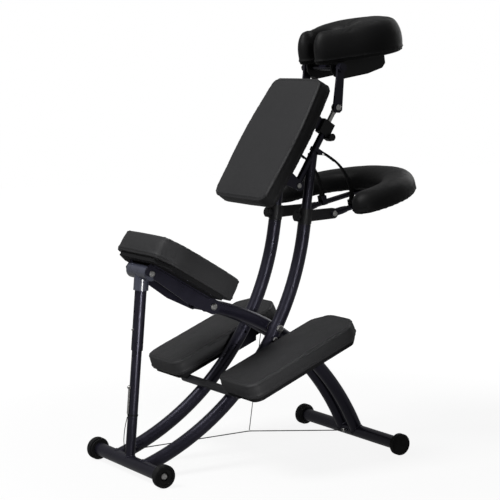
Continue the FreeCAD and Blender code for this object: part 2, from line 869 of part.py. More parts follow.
def make_seat():
    hook_x = "-post_back"
    hook_z = "-post_drop"
    face = size("leg_half") + tube_radius + size("soft_gap") + size("cheek") / 2
    brackets = []
    for side, sign in SIDES:
        cheek = plate(
            f"seat_cheek_{side}",
            [("-post_back - 18", "seat_drop"), ("-26", "seat_drop"), ("-8", "21"), ("11", "20"), ("22", "8"),
             ("21", "-9"), ("8", "-21"), ("-84", "-29"), ("-190", "-20"),
             ("-post_back - 14", "-post_drop - 11"), ("-post_back - 22", "-post_drop - 2")],
            "cheek", "4", [("0", "0", "hinge_radius + running")],
        )
        notch = new_sketch(cheek, "XZ_Plane", "notch")
        draw_outline(notch, [(f"{hook_x} - post_bolt - soft_gap", hook_z),
                             (f"{hook_x} + post_bolt + soft_gap", hook_z),
                             (f"{hook_x} + 22", f"{hook_z} - 24"), (f"{hook_x} - 8", f"{hook_z} - 24")])
        pocket_through(cheek, notch)
        crown = new_sketch(cheek, "XZ_Plane", "crown")
        draw_circle(crown, hook_x, hook_z, "post_bolt + soft_gap")
        pocket_through(cheek, crown)
        cheek.Placement = at(hinge.x, hinge.z, size("seat_tilt"), sign * face)
        reach = size("cheek") / 2
        edge = face + reach if sign > 0 else -face - reach - size("flange")
        flange_at = V(-size("post_back") - 14, edge, size("seat_drop") - size("cheek"))
        flange = box(f"seat_flange_{side}", "post_back - 16", "flange", "cheek",
                     seat_frame * FreeCAD.Placement(flange_at, FreeCAD.Rotation()))
        brackets.append(fuse(f"seat_bracket_{side}", cheek, flange))
    group("seat_brackets", brackets)
    rear = -size("seat_rear")
    front = size("seat_nose")
    half = size("seat_half")
    trim = size("seat_chamfer")
    corners = mirrored_corners([
        (front, half - 16, 30), (front - 60, half, 200), (rear + 1.7 * trim, half, 60),
        (rear, half - trim, 34),
    ])
    lift = size("seat_drop") + size("board_thick")
    board_rear = "-seat_rear + 12"
    board_bend = "-seat_rear + seat_chamfer + 24"
    board = plate(
        "seat_board",
        [(board_rear, "-seat_half + seat_chamfer + 20"), (board_bend, "-seat_half + 14"),
         ("-seat_board_front", "-seat_half + 14"), ("-seat_board_front", "seat_half - 14"),
         (board_bend, "seat_half - 14"), (board_rear, "seat_half - seat_chamfer - 20")],
        "board_thick", "9", role="XY_Plane",
    )
    board.Placement = seat_frame * FreeCAD.Placement(
        V(0, 0, size("seat_drop") + size("board_thick") / 2), FreeCAD.Rotation())
    keep(board, "seat_board")
    rest = seat_frame * FreeCAD.Placement(V(0, 0, lift + size("soft_gap")), FreeCAD.Rotation())
    outline = functools.partial(rounded_outline, corners)
    keep(cushion("seat_cushion", outline, size("seat_thick"), rest), "seat_cushion")


def make_post():
    """The telescoping upper post with its row of holes, the moulded cross head and the snap button."""
    head_foot = post_length - 14
    derived("post_head_foot", head_foot)
    sleeve = tube("post_tube", "post_outer", "post_inner + running", "post_sleeve_foot", "post_head_foot")
    sleeve.Placement = post_frame
    holes = []
    for step in range(-1, 5):
        height = size("button_height") + step * size("hole_pitch")
        holes.append(cylinder(f"post_hole_{step + 2}", "hole_radius + running", "post_outer + 2",
                              post_frame * lying(0, 0, height, V(-1, 0, 0))))
    keep(cut("post_upper", sleeve, *holes), "post_upper")
    half = size("leg_half") + tube_radius - 1.2
    drum = cylinder("head_drum", "post_head_radius", "leg_half*2 + tube_radius*2 - 2.4",
                    post_frame * lying(0, -half, post_length))
    socket = cylinder("head_socket", "post_outer + 4.5", "42",
                      post_frame * FreeCAD.Placement(V(0, 0, post_length - 52), FreeCAD.Rotation()))
    well = cylinder("head_well", "post_outer", "60",
                    post_frame * FreeCAD.Placement(V(0, 0, head_foot - 60), FreeCAD.Rotation()))
    pin_hole = cylinder("head_pin_hole", "post_bolt", "leg_half*4",
                        post_frame * lying(0, -2 * size("leg_half"), post_length))
    flat_at = V(-size("post_back") - 30, -2 * size("leg_half"), size("seat_drop") - 4)
    flat = box("head_flat", "60", "leg_half*4", "20",
               seat_frame * FreeCAD.Placement(flat_at, FreeCAD.Rotation()))
    keep(cut("post_head", fuse("head_body", drum, socket), well, pin_hole, flat), "post_head")
    keep(bolt("post_bolt", "post_bolt", "9", "4.5", "leg_half + tube_radius + soft_gap + cheek + soft_gap",
              lying(post_pin.x, 0, post_pin.z)), "post_cross_bolt")
    button = turned(
        "post_button",
        [("0", "post_inner + running"), ("hole_radius", "post_inner + running"),
         ("hole_radius", "post_outer + 3"), ("hole_radius - 1.5", "post_outer + 4.5"),
         ("0", "post_outer + 5")],
    )
    button.Placement = post_frame * lying(0, 0, size("button_height"), V(-1, 0, 0))
    keep(button, "post_button")


# Leg pads


def make_leg_pads():
    cross_at = main_point(math.radians(size("cross_slope")), tube_radius + size("cross_radius"))
    cross = tube("leg_cross_tube", "cross_radius", "cross_radius - tube_wall", "-cross_half", "cross_half")
    cross.Placement = lying(cross_at.x, 0, cross_at.z)
    keep(cross, "leg_cross_tube")
    half_length = size("pad_length") / 2
    half_width = size("pad_width") / 2
    front_trim = size("pad_front_trim")
    middle = size("pad_half_gap") + half_width
    corners = mirrored_corners([
        (half_length, half_width - front_trim, 34), (half_length - front_trim, half_width, 34),
        (-half_length, half_width, size("pad_rear_round")),
    ])
    # the boards' undersides pass just over the cross tube
    slope = math.tan(math.radians(size("pad_tilt")))
    stretch = math.sqrt(1 + slope**2)
    base_z = cross_at.z + (size("cross_radius") + size("soft_gap")) * stretch
    base_z += (size("pad_x") - cross_at.x) * slope
    derived("ear_x", ear_hold.x)
    derived("ear_z", ear_hold.z)
    derived("ear_rise", slope)
    derived("ear_top", base_z + (ear_hold.x - size("pad_x")) * slope - size("soft_gap"))
    tube_face = size("main_half") + tube_radius
    ear_y = tube_face + size("cheek") / 2
    boards = []
    brackets = []
    bolts = []
    for side, sign in SIDES:
        frame = at(size("pad_x"), base_z, -size("pad_tilt"), sign * middle)
        boards.append(slab(f"leg_board_{side}", rounded_outline(corners, 12), size("board_thick"), frame))
        rest = frame * FreeCAD.Placement(V(0, 0, size("board_thick") + size("soft_gap")), FreeCAD.Rotation())
        pad_outline = functools.partial(rounded_outline, corners)
        keep(cushion(f"leg_pad_{side}", pad_outline, size("pad_thick"), rest), f"leg_pad_{side}")
        # side bracket: an ear bolted to the main tube's outer face, with a flange under the board
        ear = plate(
            f"leg_ear_{side}",
            [("ear_x - 22", "ear_top - ear_rise*22"), ("ear_x + 62", "ear_top + ear_rise*62"),
             ("ear_x + 62", "ear_top + ear_rise*62 + 26"), ("ear_x + 11", "ear_z + 8"),
             ("ear_x + 3", "ear_z + 12"), ("ear_x - 10", "ear_z + 8"), ("ear_x - 14", "ear_z - 10"),
             ("ear_x - 26", "ear_top - ear_rise*26 + 20")],
            "cheek", "3", [("ear_x", "ear_z", "4")],
        )
        ear.Placement = at(0, 0, 0, sign * ear_y)
        flange_y = tube_face - middle if sign > 0 else middle - tube_face - 40
        along = (ear_hold.x - size("pad_x")) * stretch
        flange_at = V(along - 24, flange_y, -size("cheek") - size("soft_gap"))
        flange = box(f"leg_flange_{side}", "90", "40", "cheek",
                     frame * FreeCAD.Placement(flange_at, FreeCAD.Rotation()))
        brackets.append(fuse(f"leg_bracket_{side}", ear, flange))
        bolt_y = sign * (tube_face - size("tube_wall"))
        bolts.append(stud(f"leg_bolt_{side}", "4", "7.5", "4", "cheek + tube_wall + soft_gap",
                          lying(ear_hold.x, bolt_y, ear_hold.z, V(0, sign, 0))))
    group("leg_boards", boards)
    group("leg_brackets", brackets)
    group("leg_bolts", bolts)


# Chest support


def make_chest():
    """Rails behind the chest board, each welded to a tube that slides in a main tube, with rod clamps."""
    tubes = []
    brackets = []
    bolts = []
    clamps = []
    level = FreeCAD.Rotation()
    rail_y = size("main_half")
    back = size("rail_back")
    board_back = size("chest_back")
    plate_y = rail_y + size("rail_radius") + size("soft_gap")
    for side, sign in SIDES:
        y = sign * rail_y
        track = chest_frame * FreeCAD.Placement(V(back, y, 0), level)
        core = cylinder(f"rail_core_{side}", "rail_radius", "rail_head", track)
        stem = tube(f"chest_stem_{side}", "inner_radius", "inner_radius - tube_wall", "-inner_below",
                    "inner_above")
        stem.Placement = top_frame * FreeCAD.Placement(V(0, y, 0), level)
        rail = tube(f"chest_rail_{side}", "rail_radius", "rod_radius + running", "rail_foot", "rail_head")
        rail.Placement = track
        drill = cylinder(f"rail_drill_{side}", "4 + running", "rail_radius*4",
                         track * lying(0, -2 * size("rail_radius"), size("rail_bolt")))
        welded = fuse(f"chest_weld_{side}", cut(f"chest_cope_{side}", stem, core), rail)
        tubes.append(cut(f"chest_tube_{side}", welded, drill))

        # lower bracket: a plate from the board to the bolt through the rail, with a lip on the board
        arm = plate(
            f"rail_arm_{side}",
            [("chest_back", "rail_bolt - 24"), ("60", "rail_bolt - 18"), ("rail_back + 12", "rail_bolt - 11"),
             ("rail_back + 17", "rail_bolt - 1"), ("rail_back + 12", "rail_bolt + 10"),
             ("60", "rail_bolt + 18"), ("chest_back", "rail_bolt + 24")],
            "cheek", "3", [("rail_back", "rail_bolt", "4 + running")],
        )
        arm.Placement = chest_frame * FreeCAD.Placement(V(0, sign * (plate_y + size("cheek") / 2), 0), level)
        lip_y = plate_y + size("cheek")
        lip_at = V(board_back, lip_y if sign > 0 else -lip_y - size("flange"), size("rail_bolt") - 24)
        lip = box(f"rail_lip_{side}", "cheek", "flange", "48", chest_frame * FreeCAD.Placement(lip_at, level))
        brackets.append(fuse(f"rail_bracket_{side}", arm, lip))
        bolt_y = sign * (rail_y - size("rail_radius"))
        bolts.append(stud(f"rail_bolt_{side}", "4", "7.5", "4", "rail_radius*2 + cheek + soft_gap*2",
                          chest_frame * lying(back, bolt_y, size("rail_bolt"), V(0, sign, 0))))

        # upper bracket: a web from the board to the rod clamp, on a lip
        reach = "rail_back - 22 - soft_gap"
        web = plate(
            f"clamp_web_{side}",
            [("chest_back", "clamp_foot - 12"), (reach, "clamp_foot + 4"),
             (reach, "clamp_foot + clamp_height - 4"), ("chest_back", "clamp_foot + clamp_height + 8")],
            "cheek", "1.5",
        )
        web.Placement = chest_frame * FreeCAD.Placement(V(0, y, 0), level)
        sole_at = V(board_back, y - size("clamp_half"), size("clamp_foot") - 12)
        sole = box(f"clamp_sole_{side}", "cheek", "clamp_half*2", "clamp_height + 20",
                   chest_frame * FreeCAD.Placement(sole_at, level))
        brackets.append(fuse(f"clamp_bracket_{side}", web, sole))

        # strap hanger: a pin between two lugs that flank the rail
        members = []
        for name, edge in (("inner", -12.5), ("outer", 9.5)):
            lug_at = V(back - 8, y + edge, size("hanger_up") - 6)
            members.append(box(f"hanger_{name}_{side}", "hanger_back - rail_back + hanger_pin + 8", "3", "12",
                               chest_frame * FreeCAD.Placement(lug_at, level)))
        members.append(cylinder(f"hanger_pin_{side}", "hanger_pin", "25",
                                chest_frame * lying(size("hanger_back"), y - 12.5, size("hanger_up"))))
        brackets.append(cut(f"strap_hanger_{side}", fuse(f"hanger_body_{side}", *members), core))
        clamps.append(make_rod_clamp(side, sign, track))
    group("chest_tubes", tubes)
    group("chest_brackets", brackets)
    group("chest_bolts", bolts)
    group("rod_clamps", clamps)
    length = size("chest_length")
    corners = mirrored_corners([
        (length / 2, size("chest_top_half"), 34), (25, size("chest_mid_half"), 900),
        (-length / 2, size("chest_low_half"), 34),
    ])
    # the cushion is lofted lying down and stood up with its crown towards the client
    stand = FreeCAD.Rotation(V(0, 0, 1), V(-1, 0, 0))
    middle = size("chest_foot") + length / 2
    front = board_back - size("chest_board") - size("soft_gap")
    rest = chest_frame * FreeCAD.Placement(V(front, 0, middle), stand)
    outline = functools.partial(rounded_outline, corners)
    keep(cushion("chest_cushion", outline, size("chest_thick"), rest), "chest_cushion")
    board_place = chest_frame * FreeCAD.Placement(V(board_back, 0, middle), stand)
    keep(slab("chest_board", outline(BOARD_INSET), size("chest_board"), board_place), "chest_board")


def make_rod_clamp(side, sign, track):
    """The block on a rail's head that grips the cradle rod, with the knob on its lower front ear."""
    level = FreeCAD.Rotation()
    half = size("clamp_half")
    foot = size("clamp_foot")
    block = box(f"clamp_block_{side}", "42", "clamp_half*2", "clamp_height",
                track * FreeCAD.Placement(V(-22, -half, foot), level))
    soft = doc.addObject("Part::Fillet", f"clamp_soft_{side}")
    soft.Base = block
    doc.recompute()
    along = chest_frame.Rotation.multVec(V(0, 0, 1))
    soft.Edges = [(i, 4.0, 4.0) for i, edge in enumerate(block.Shape.Edges, 1)
                  if edge.tangentAt(edge.FirstParameter).cross(along).Length < 1e-6]
    ear = box(f"clamp_ear_{side}", "18", "clamp_half*2", "18",
              track * FreeCAD.Placement(V(13, -half, foot - 4), level))
    knob_x = 22
    knob_z = foot + 5
    rail_bore = cylinder(f"clamp_rail_bore_{side}", "rail_radius + running",
                         "rail_head - clamp_foot + 10 + soft_gap",
                         track * FreeCAD.Placement(V(0, 0, foot - 10), level))
    rod_bore = cylinder(f"clamp_rod_bore_{side}", "rod_radius + running", "60",
                        track * FreeCAD.Placement(V(0, 0, size("rail_head") - 2), level))
    thread = cylinder(f"clamp_thread_{side}", "4 + running", "20",
                      track * lying(knob_x, sign * (half - 14), knob_z, V(0, sign, 0)))
    knob(f"clamp_knob_{side}", "clamp_knob", "clamp_knob_length", "11",
         track * lying(knob_x, sign * (half + size("soft_gap")), knob_z, V(0, sign, 0)))
    body = fuse(f"clamp_body_{side}", soft, ear)
    return cut(f"rod_clamp_{side}", body, rail_bore, rod_bore, thread)


# Face cradle


def make_cradle():
    rods = []
    posts = []
    bolts = []
    rise = cradle_pivot - knuckle
    post_turn = math.degrees(math.atan2(rise.x, rise.z))
    derived("cradle_post_length", rise.Length)
    level = FreeCAD.Rotation()
    eye_half = size("rod_eye_half")
    eye_face = size("main_half") + eye_half
    post_face = eye_face + size("soft_gap") + size("post_plate")
    back = size("rail_back")
    for side, sign in SIDES:
        y = sign * size("main_half")
        rod = cylinder(f"rod_bar_{side}", "rod_radius", "knuckle_up - 17 - rod_foot",
                       chest_frame * FreeCAD.Placement(V(back, y, size("rod_foot")), level))
        neck_at = V(back - size("rod_radius"), y - eye_half, size("knuckle_up") - 18)
        neck = box(f"rod_neck_{side}", "rod_radius*2", "rod_eye_half*2", "18",
                   chest_frame * FreeCAD.Placement(neck_at, level))
        eye = cylinder(f"rod_eye_{side}", "13", "rod_eye_half*2", lying(knuckle.x, y - eye_half, knuckle.z))
        hole = cylinder(f"rod_eye_hole_{side}", "5 + running", "40", lying(knuckle.x, y - 20, knuckle.z))
        rods.append(cut(f"cradle_rod_{side}", fuse(f"rod_body_{side}", rod, neck, eye), hole))
        head = "cradle_post_length"
        post = plate(
            f"cradle_post_{side}",
            [("-15", "-7"), ("-7", "-15"), ("7", "-15"), ("15", "-7"), ("12", f"{head} - 20"),
             ("13", f"{head} + 6"), ("6", f"{head} + 13"), ("-6", f"{head} + 13"), ("-13", f"{head} + 6"),
             ("-12", f"{head} - 20")],
            "post_plate", "4", [("0", "0", "5"), ("0", head, "cross_rod")],
        )
        post.Placement = at(knuckle.x, knuckle.z, post_turn, sign * (post_face - size("post_plate") / 2))
        posts.append(post)
        bolts.append(stud(f"knuckle_bolt_{side}", "5", "9", "5", "rod_eye_half*2 + post_plate + soft_gap*2",
                          lying(knuckle.x, y - sign * eye_half, knuckle.z, V(0, sign, 0))))
    group("cradle_rods", rods)
    group("cradle_posts", posts)
    group("knuckle_bolts", bolts)
    end = "main_half + rod_eye_half + soft_gap + post_plate + 10"
    cross = turned("cross_bar",
                   [("0", minus(end)), ("cross_rod", minus(end)), ("cross_rod", end), ("0", end)])
    cross.Placement = lying(cradle_pivot.x, 0, cradle_pivot.z)
    lever = plate(
        "cam_lever",
        [("-12", "7"), ("-12", "-7"), ("-4", "-13"), ("26", "-10"), ("52", "-13"), ("56", "-7"), ("54", "2"),
         ("28", "2"), ("8", "12"), ("-6", "12.5")],
        "post_plate", "4", [("0", "0", "cross_rod + running")],
    )
    lever_y = post_face + size("soft_gap") + size("post_plate") / 2
    lever.Placement = at(cradle_pivot.x, cradle_pivot.z, 38, lever_y)
    keep(lever, "cam_lever")
    nut = tube("cradle_nut", "13", "cross_rod", "0", "8")
    nut.Placement = lying(cradle_pivot.x, -post_face - size("soft_gap"), cradle_pivot.z, V(0, -1, 0))
    keep(fuse("cradle_cross_rod", cross, nut), "cradle_cross_rod")
    tray_board = Part.Face(horseshoe(BOARD_INSET)).extrude(V(0, 0, size("tray_board")))
    lift = FreeCAD.Placement(V(0, 0, size("tray_lift")), level)
    tray = [formed("platform_board", tray_board, cradle_frame * lift)]
    web_half = size("web_half")
    for side, sign in SIDES:
        web = plate(
            f"platform_web_{side}",
            [("-18", "tray_lift + 1"), ("-18", "-9"), ("-8", "-24"), ("12", "-36"), ("110", "-36"),
             ("165", "-28"), ("178", "-16"), ("178", "tray_lift + 1")],
            "6", "5", [("0", "0", "cross_rod + running")],
        )
        web.Placement = at(cradle_pivot.x, cradle_pivot.z, -size("cradle_tilt"), sign * web_half)
        tray.append(web)
    tray.append(box("platform_nose", "6", "web_half*2", "tray_lift + 21",
                    cradle_frame * FreeCAD.Placement(V(164, -web_half, -20), level)))
    keep(fuse("cradle_platform", *tray), "cradle_platform")
    top = size("tray_lift") + size("tray_board") + size("soft_gap")
    rest = cradle_frame * FreeCAD.Placement(V(0, 0, top), level)
    keep(cushion("cradle_cushion", horseshoe, size("cradle_thick"), rest, PLUMP, size("tray_board")),
         "cradle_cushion")


# Armrest


def make_armrest():
    clamps = []
    sleeves = []
    rods = []
    bolts = []
    straps = []
    level = FreeCAD.Rotation()
    knob_z = size("height_knob_up")
    for side, sign in SIDES:
        y = sign * size("main_half")
        place = top_frame * FreeCAD.Placement(V(0, y, 0), level)
        ring = tube(f"arm_ring_{side}", "arm_ring", "inner_radius", "bush_lip + soft_gap*2", "arm_ring_head")
        ring.Placement = place
        half = size("arm_plate") / 2
        arm = plate(
            f"arm_bar_{side}",
            [("8", "9.5"), ("8", "arm_ring_head - 4"), ("arm_reach - 2", "arm_up + arm_nose - 0.2"),
             ("arm_reach + 2", "arm_up - arm_nose + 0.2")],
            "arm_plate",
        )
        arm.Placement = place
        nose = cylinder(f"arm_nose_{side}", "arm_nose", "arm_plate",
                        lying(arm_pivot.x, y - half, arm_pivot.z))
        boss = cylinder(f"arm_boss_{side}", "9", "6",
                        place * lying(5.5 - size("arm_ring"), 0, knob_z, V(-1, 0, 0)))
        eye = cylinder(f"arm_eye_{side}", "arm_bolt + running", "40", lying(arm_pivot.x, y - 20, arm_pivot.z))
        stem = cylinder(f"arm_stem_{side}", "inner_radius", "80", place)
        thread = cylinder(f"arm_thread_{side}", "4 + running", "14",
                          place * lying(-12, 0, knob_z, V(-1, 0, 0)))
        body = fuse(f"arm_clamp_body_{side}", ring, arm, nose, boss)
        clamps.append(cut(f"arm_clamp_{side}", body, eye, stem, thread))
        knob_x = -size("arm_ring") - 0.5 - size("soft_gap")
        knob(f"height_knob_{side}", "height_knob", "height_knob_length", "6",
             place * lying(knob_x, 0, knob_z, V(-1, 0, 0)))
        here = arm_frame * FreeCAD.Placement(V(0, y, 0), level)
        shell = turned(
            f"arm_shell_{side}",
            [("0", minus("sleeve_radius")), ("sleeve_radius", minus("sleeve_radius")),
             ("sleeve_radius", "sleeve_length - 16"), ("strut_radius + 1.5", "sleeve_length"),
             ("strut_radius", "sleeve_length"), ("strut_radius", "sleeve_length - sleeve_grip"),
             ("0", "sleeve_length - sleeve_grip")],
        )
        shell.Placement = here * lying(0, 0, 0, V(1, 0, 0))
        slot = half + size("soft_gap")
        fork = box(f"arm_fork_{side}", "arm_nose*2 + 1", "arm_plate + soft_gap*2", "40",
                   here * FreeCAD.Placement(V(-size("arm_nose") - 0.5, -slot, -20), level))
        hole = cylinder(f"arm_hole_{side}", "arm_bolt", "60", lying(arm_pivot.x, y - 30, arm_pivot.z))
        sleeves.append(cut(f"arm_sleeve_{side}", shell, fork, hole))
        rods.append(make_arm_rod(side, here))
        bolts.append(bolt(f"arm_bolt_{side}", "arm_bolt", "8", "4", "sleeve_radius + soft_gap",
                          lying(arm_pivot.x, y, arm_pivot.z)))
        straps.append(make_strap(side, sign))
    group("arm_clamps", clamps)
    group("arm_sleeves", sleeves)
    group("arm_rods", rods)
    group("arm_bolts", bolts)
    group("arm_straps", straps)
    lift = size("strut_radius") + size("soft_gap")
    under = arm_frame * FreeCAD.Placement(V(0, 0, lift), level)
    keep(slab("armrest_board", crescent(BOARD_INSET), size("arm_board"), under), "armrest_board")
    top = lift + size("arm_board") + size("soft_gap")
    rest = arm_frame * FreeCAD.Placement(V(0, 0, top), level)
    keep(cushion("armrest_cushion", crescent, size("arm_thick"), rest, PLUMP, size("arm_board")),
         "armrest_cushion")


def make_arm_rod(side, here):
    """The rod under the armrest, with a saddle that carries the strap's pin between two lugs."""
    level = FreeCAD.Rotation()
    rod = cylinder(f"arm_bar_rod_{side}", "strut_radius", "strut_length - sleeve_length + sleeve_grip",
                   here * lying(size("sleeve_length") - size("sleeve_grip"), 0, 0, V(1, 0, 0)))
    strap_x = size("strap_x")
    members = [rod, box(f"saddle_base_{side}", "16", "25", "8",
                        here * FreeCAD.Placement(V(strap_x - 8, -12.5, -6), level))]
    for name, edge in (("inner", -12.5), ("outer", 9.5)):
        members.append(box(f"saddle_{name}_{side}", "16", "3", "strap_lift + 12",
                           here * FreeCAD.Placement(V(strap_x - 8, edge, -6), level)))
    members.append(cylinder(f"saddle_pin_{side}", "hanger_pin", "25",
                            here * lying(strap_x, -12.5, size("strap_lift"))))
    return fuse(f"arm_rod_{side}", *members)


def make_strap(side, sign):
    """A webbing loop from the hanger on the chest rail to the armrest's rod, slack in its upper run."""
    pin = chest_frame.multVec(V(size("hanger_back"), 0, size("hanger_up")))
    rod = arm_frame.multVec(V(size("strap_x"), 0, size("strap_lift")))
    half = size("strap_thick") / 2
    wrap = size("hanger_pin") + size("soft_gap") + half
    across = (rod - pin).normalize()
    beside = V(-across.z, 0, across.x)
    low_pin = pin - beside * wrap
    low_rod = rod - beside * wrap
    high_pin = pin + beside * wrap
    high_rod = rod + beside * wrap
    bow = (high_pin + high_rod) / 2 + beside * size("strap_bow")
    edges = [
        line(low_pin, low_rod),
        arc(low_rod, rod + across * wrap, high_rod),
        arc(high_rod, bow, high_pin),
        arc(high_pin, pin - across * wrap, low_pin),
    ]
    loop = Part.Wire(edges)
    outer = Part.Face(loop.makeOffset2D(half))
    inner = Part.Face(loop.makeOffset2D(-half))
    width = size("strap_width")
    band = outer.cut(inner).extrude(V(0, width, 0))
    y = sign * size("main_half") - width / 2
    return formed(f"arm_strap_{side}", band, FreeCAD.Placement(V(0, y, 0), FreeCAD.Rotation()))


# Cords


def make_cords():
    joint = (397, 0, 69)
    cord("stay_cable", [(27, 0, 66), joint, (front_axis.x - tube_radius - 11.2, 0, front_axis.z - 2)],
         size("cable_radius"), 30.0)
    cord("lift_cord", [(pivot.x - 1, 0, pivot.z - 12.5), (joint[0], 0, joint[2] + 2.5)],
         size("cable_radius") * 0.8)
    back = -size("post_inner")
    local = [(back - 2.5, 128), (back - 6, 112), (back - 8.5, 92), (back - 9.5, 72), (back - 8.5, 54),
             (back - 4.5, 38), (back - 2, 24)]
    cord("pin_lanyard", [tuple(post_frame.multVec(V(x, 0, z))) for x, z in local], size("lanyard_radius"))


make_rear_base()
make_main_tubes()
make_bushes()
make_post_stub()
make_front_leg()
make_seat()
make_post()
make_leg_pads()
make_chest()
make_cradle()
make_armrest()
make_cords()
doc.recompute()

for item in doc.Objects:
    if "Invalid" in item.State or "Error" in item.State:
        raise RuntimeError(f"{item.Label} failed: {item.State}")
for piece in nodes:
    if piece.Shape.isNull() or not piece.Shape.isValid():
        raise RuntimeError(f"{piece.Label} has no valid shape")

box_all = FreeCAD.BoundBox()
for piece in nodes:
    box_all.add(piece.Shape.optimalBoundingBox(True, False))
to_origin = FreeCAD.Placement(V(-box_all.Center.x, 0, 0), FreeCAD.Rotation())
for piece in nodes:
    piece.Placement = to_origin * piece.Placement
print(f"moved to the origin by {-box_all.Center.x:.3f}; box {box_all}")
PLACES = (("pivot", pivot), ("hinge", hinge), ("post_pin", post_pin), ("front_axis", front_axis),
          ("knuckle", knuckle), ("cradle_pivot", cradle_pivot), ("arm_pivot", arm_pivot),
          ("main_top", main_top))
for spot_name, spot in PLACES:
    print(f"{spot_name} {spot.x - box_all.Center.x:.3f} {spot.z:.3f}")

os.makedirs("parts", exist_ok=True)
for piece in nodes:
    piece.Shape.exportStep(f"parts/{piece.Label}.step")
print(f"{len(nodes)} nodes written")
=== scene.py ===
import json
import math

import bmesh
import bpy
import numpy as np
from mathutils import Matrix, Vector, noise
from mathutils.bvhtree import BVHTree
from mathutils.kdtree import KDTree


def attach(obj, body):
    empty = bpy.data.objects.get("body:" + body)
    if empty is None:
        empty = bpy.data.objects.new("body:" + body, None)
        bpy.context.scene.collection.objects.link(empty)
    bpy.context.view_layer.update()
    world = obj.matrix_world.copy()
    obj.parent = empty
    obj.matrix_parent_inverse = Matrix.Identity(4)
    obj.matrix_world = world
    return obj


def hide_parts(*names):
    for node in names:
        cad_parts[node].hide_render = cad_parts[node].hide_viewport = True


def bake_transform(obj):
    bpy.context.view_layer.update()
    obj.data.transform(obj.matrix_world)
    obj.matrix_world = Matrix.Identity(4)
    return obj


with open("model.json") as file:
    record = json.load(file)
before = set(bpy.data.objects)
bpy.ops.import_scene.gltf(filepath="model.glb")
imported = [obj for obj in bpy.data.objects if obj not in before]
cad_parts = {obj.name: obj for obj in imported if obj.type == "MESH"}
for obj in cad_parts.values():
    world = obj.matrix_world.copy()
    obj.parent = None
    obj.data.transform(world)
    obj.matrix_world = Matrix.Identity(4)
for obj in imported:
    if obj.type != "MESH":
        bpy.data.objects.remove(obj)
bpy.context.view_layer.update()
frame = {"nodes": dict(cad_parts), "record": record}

# Folding massage chair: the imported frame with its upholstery, cords, straps, seams and welds.
# Lengths are in metres, but the cushions' outlines, profiles and heights are in millimetres and are scaled by MM.

MM = 0.001
nodes = frame["nodes"]
scene = bpy.context.scene


# Node trees and objects


def add_node(tree, kind, inputs=None, **settings):
    """A node with its settings, and each named input set or linked."""
    node = tree.nodes.new(kind)
    for name, value in settings.items():
        setattr(node, name, value)
    for name, value in (inputs or {}).items():
        if isinstance(value, bpy.types.NodeSocket):
            tree.links.new(value, node.inputs[name])
        else:
            node.inputs[name].default_value = value
    return node


def sums(tree, operation, first, second):
    node = add_node(tree, "ShaderNodeMath", operation=operation)
    for socket, value in zip(node.inputs, (first, second)):
        if isinstance(value, bpy.types.NodeSocket):
            tree.links.new(value, socket)
        else:
            socket.default_value = value
    return node.outputs[0]


def ramp(tree, factor, low, high, start=0.0, end=1.0):
    """A ramp between two colours, or two grey levels."""
    node = add_node(tree, "ShaderNodeValToRGB", {"Fac": factor})
    for element, place, colour in zip(node.color_ramp.elements, (start, end), (low, high)):
        element.position = place
        element.color = (*colour, 1.0) if isinstance(colour, tuple) else (colour, colour, colour, 1.0)
    return node.outputs["Color"]


def new_finish(name, **shader):
    material = bpy.data.materials.new(name)
    material.use_nodes = True
    tree = material.node_tree
    surface = tree.nodes["Principled BSDF"]
    for socket, value in shader.items():
        surface.inputs[socket.replace("_", " ")].default_value = value
    return material, tree, surface


def object_place(tree):
    return add_node(tree, "ShaderNodeTexCoord").outputs["Object"]


def grain(tree, place, scale, detail=2.0, roughness=0.5):
    node = add_node(tree, "ShaderNodeTexNoise",
                    {"Vector": place, "Scale": scale, "Detail": detail, "Roughness": roughness})
    return node.outputs["Fac"]


def raised(tree, surface, height, strength, distance):
    bump = add_node(tree, "ShaderNodeBump", {"Height": height, "Strength": strength, "Distance": distance})
    tree.links.new(bump.outputs["Normal"], surface.inputs["Normal"])


def new_object(name, mesh):
    piece = bpy.data.objects.new(name, mesh)
    scene.collection.objects.link(piece)
    return piece


def evaluated_mesh(piece):
    """The object's mesh with its modifiers applied, as a plain mesh."""
    graph = bpy.context.evaluated_depsgraph_get()
    return bpy.data.meshes.new_from_object(piece.evaluated_get(graph))


def smooth(mesh):
    mesh.polygons.foreach_set("use_smooth", [True] * len(mesh.polygons))


# Finishes


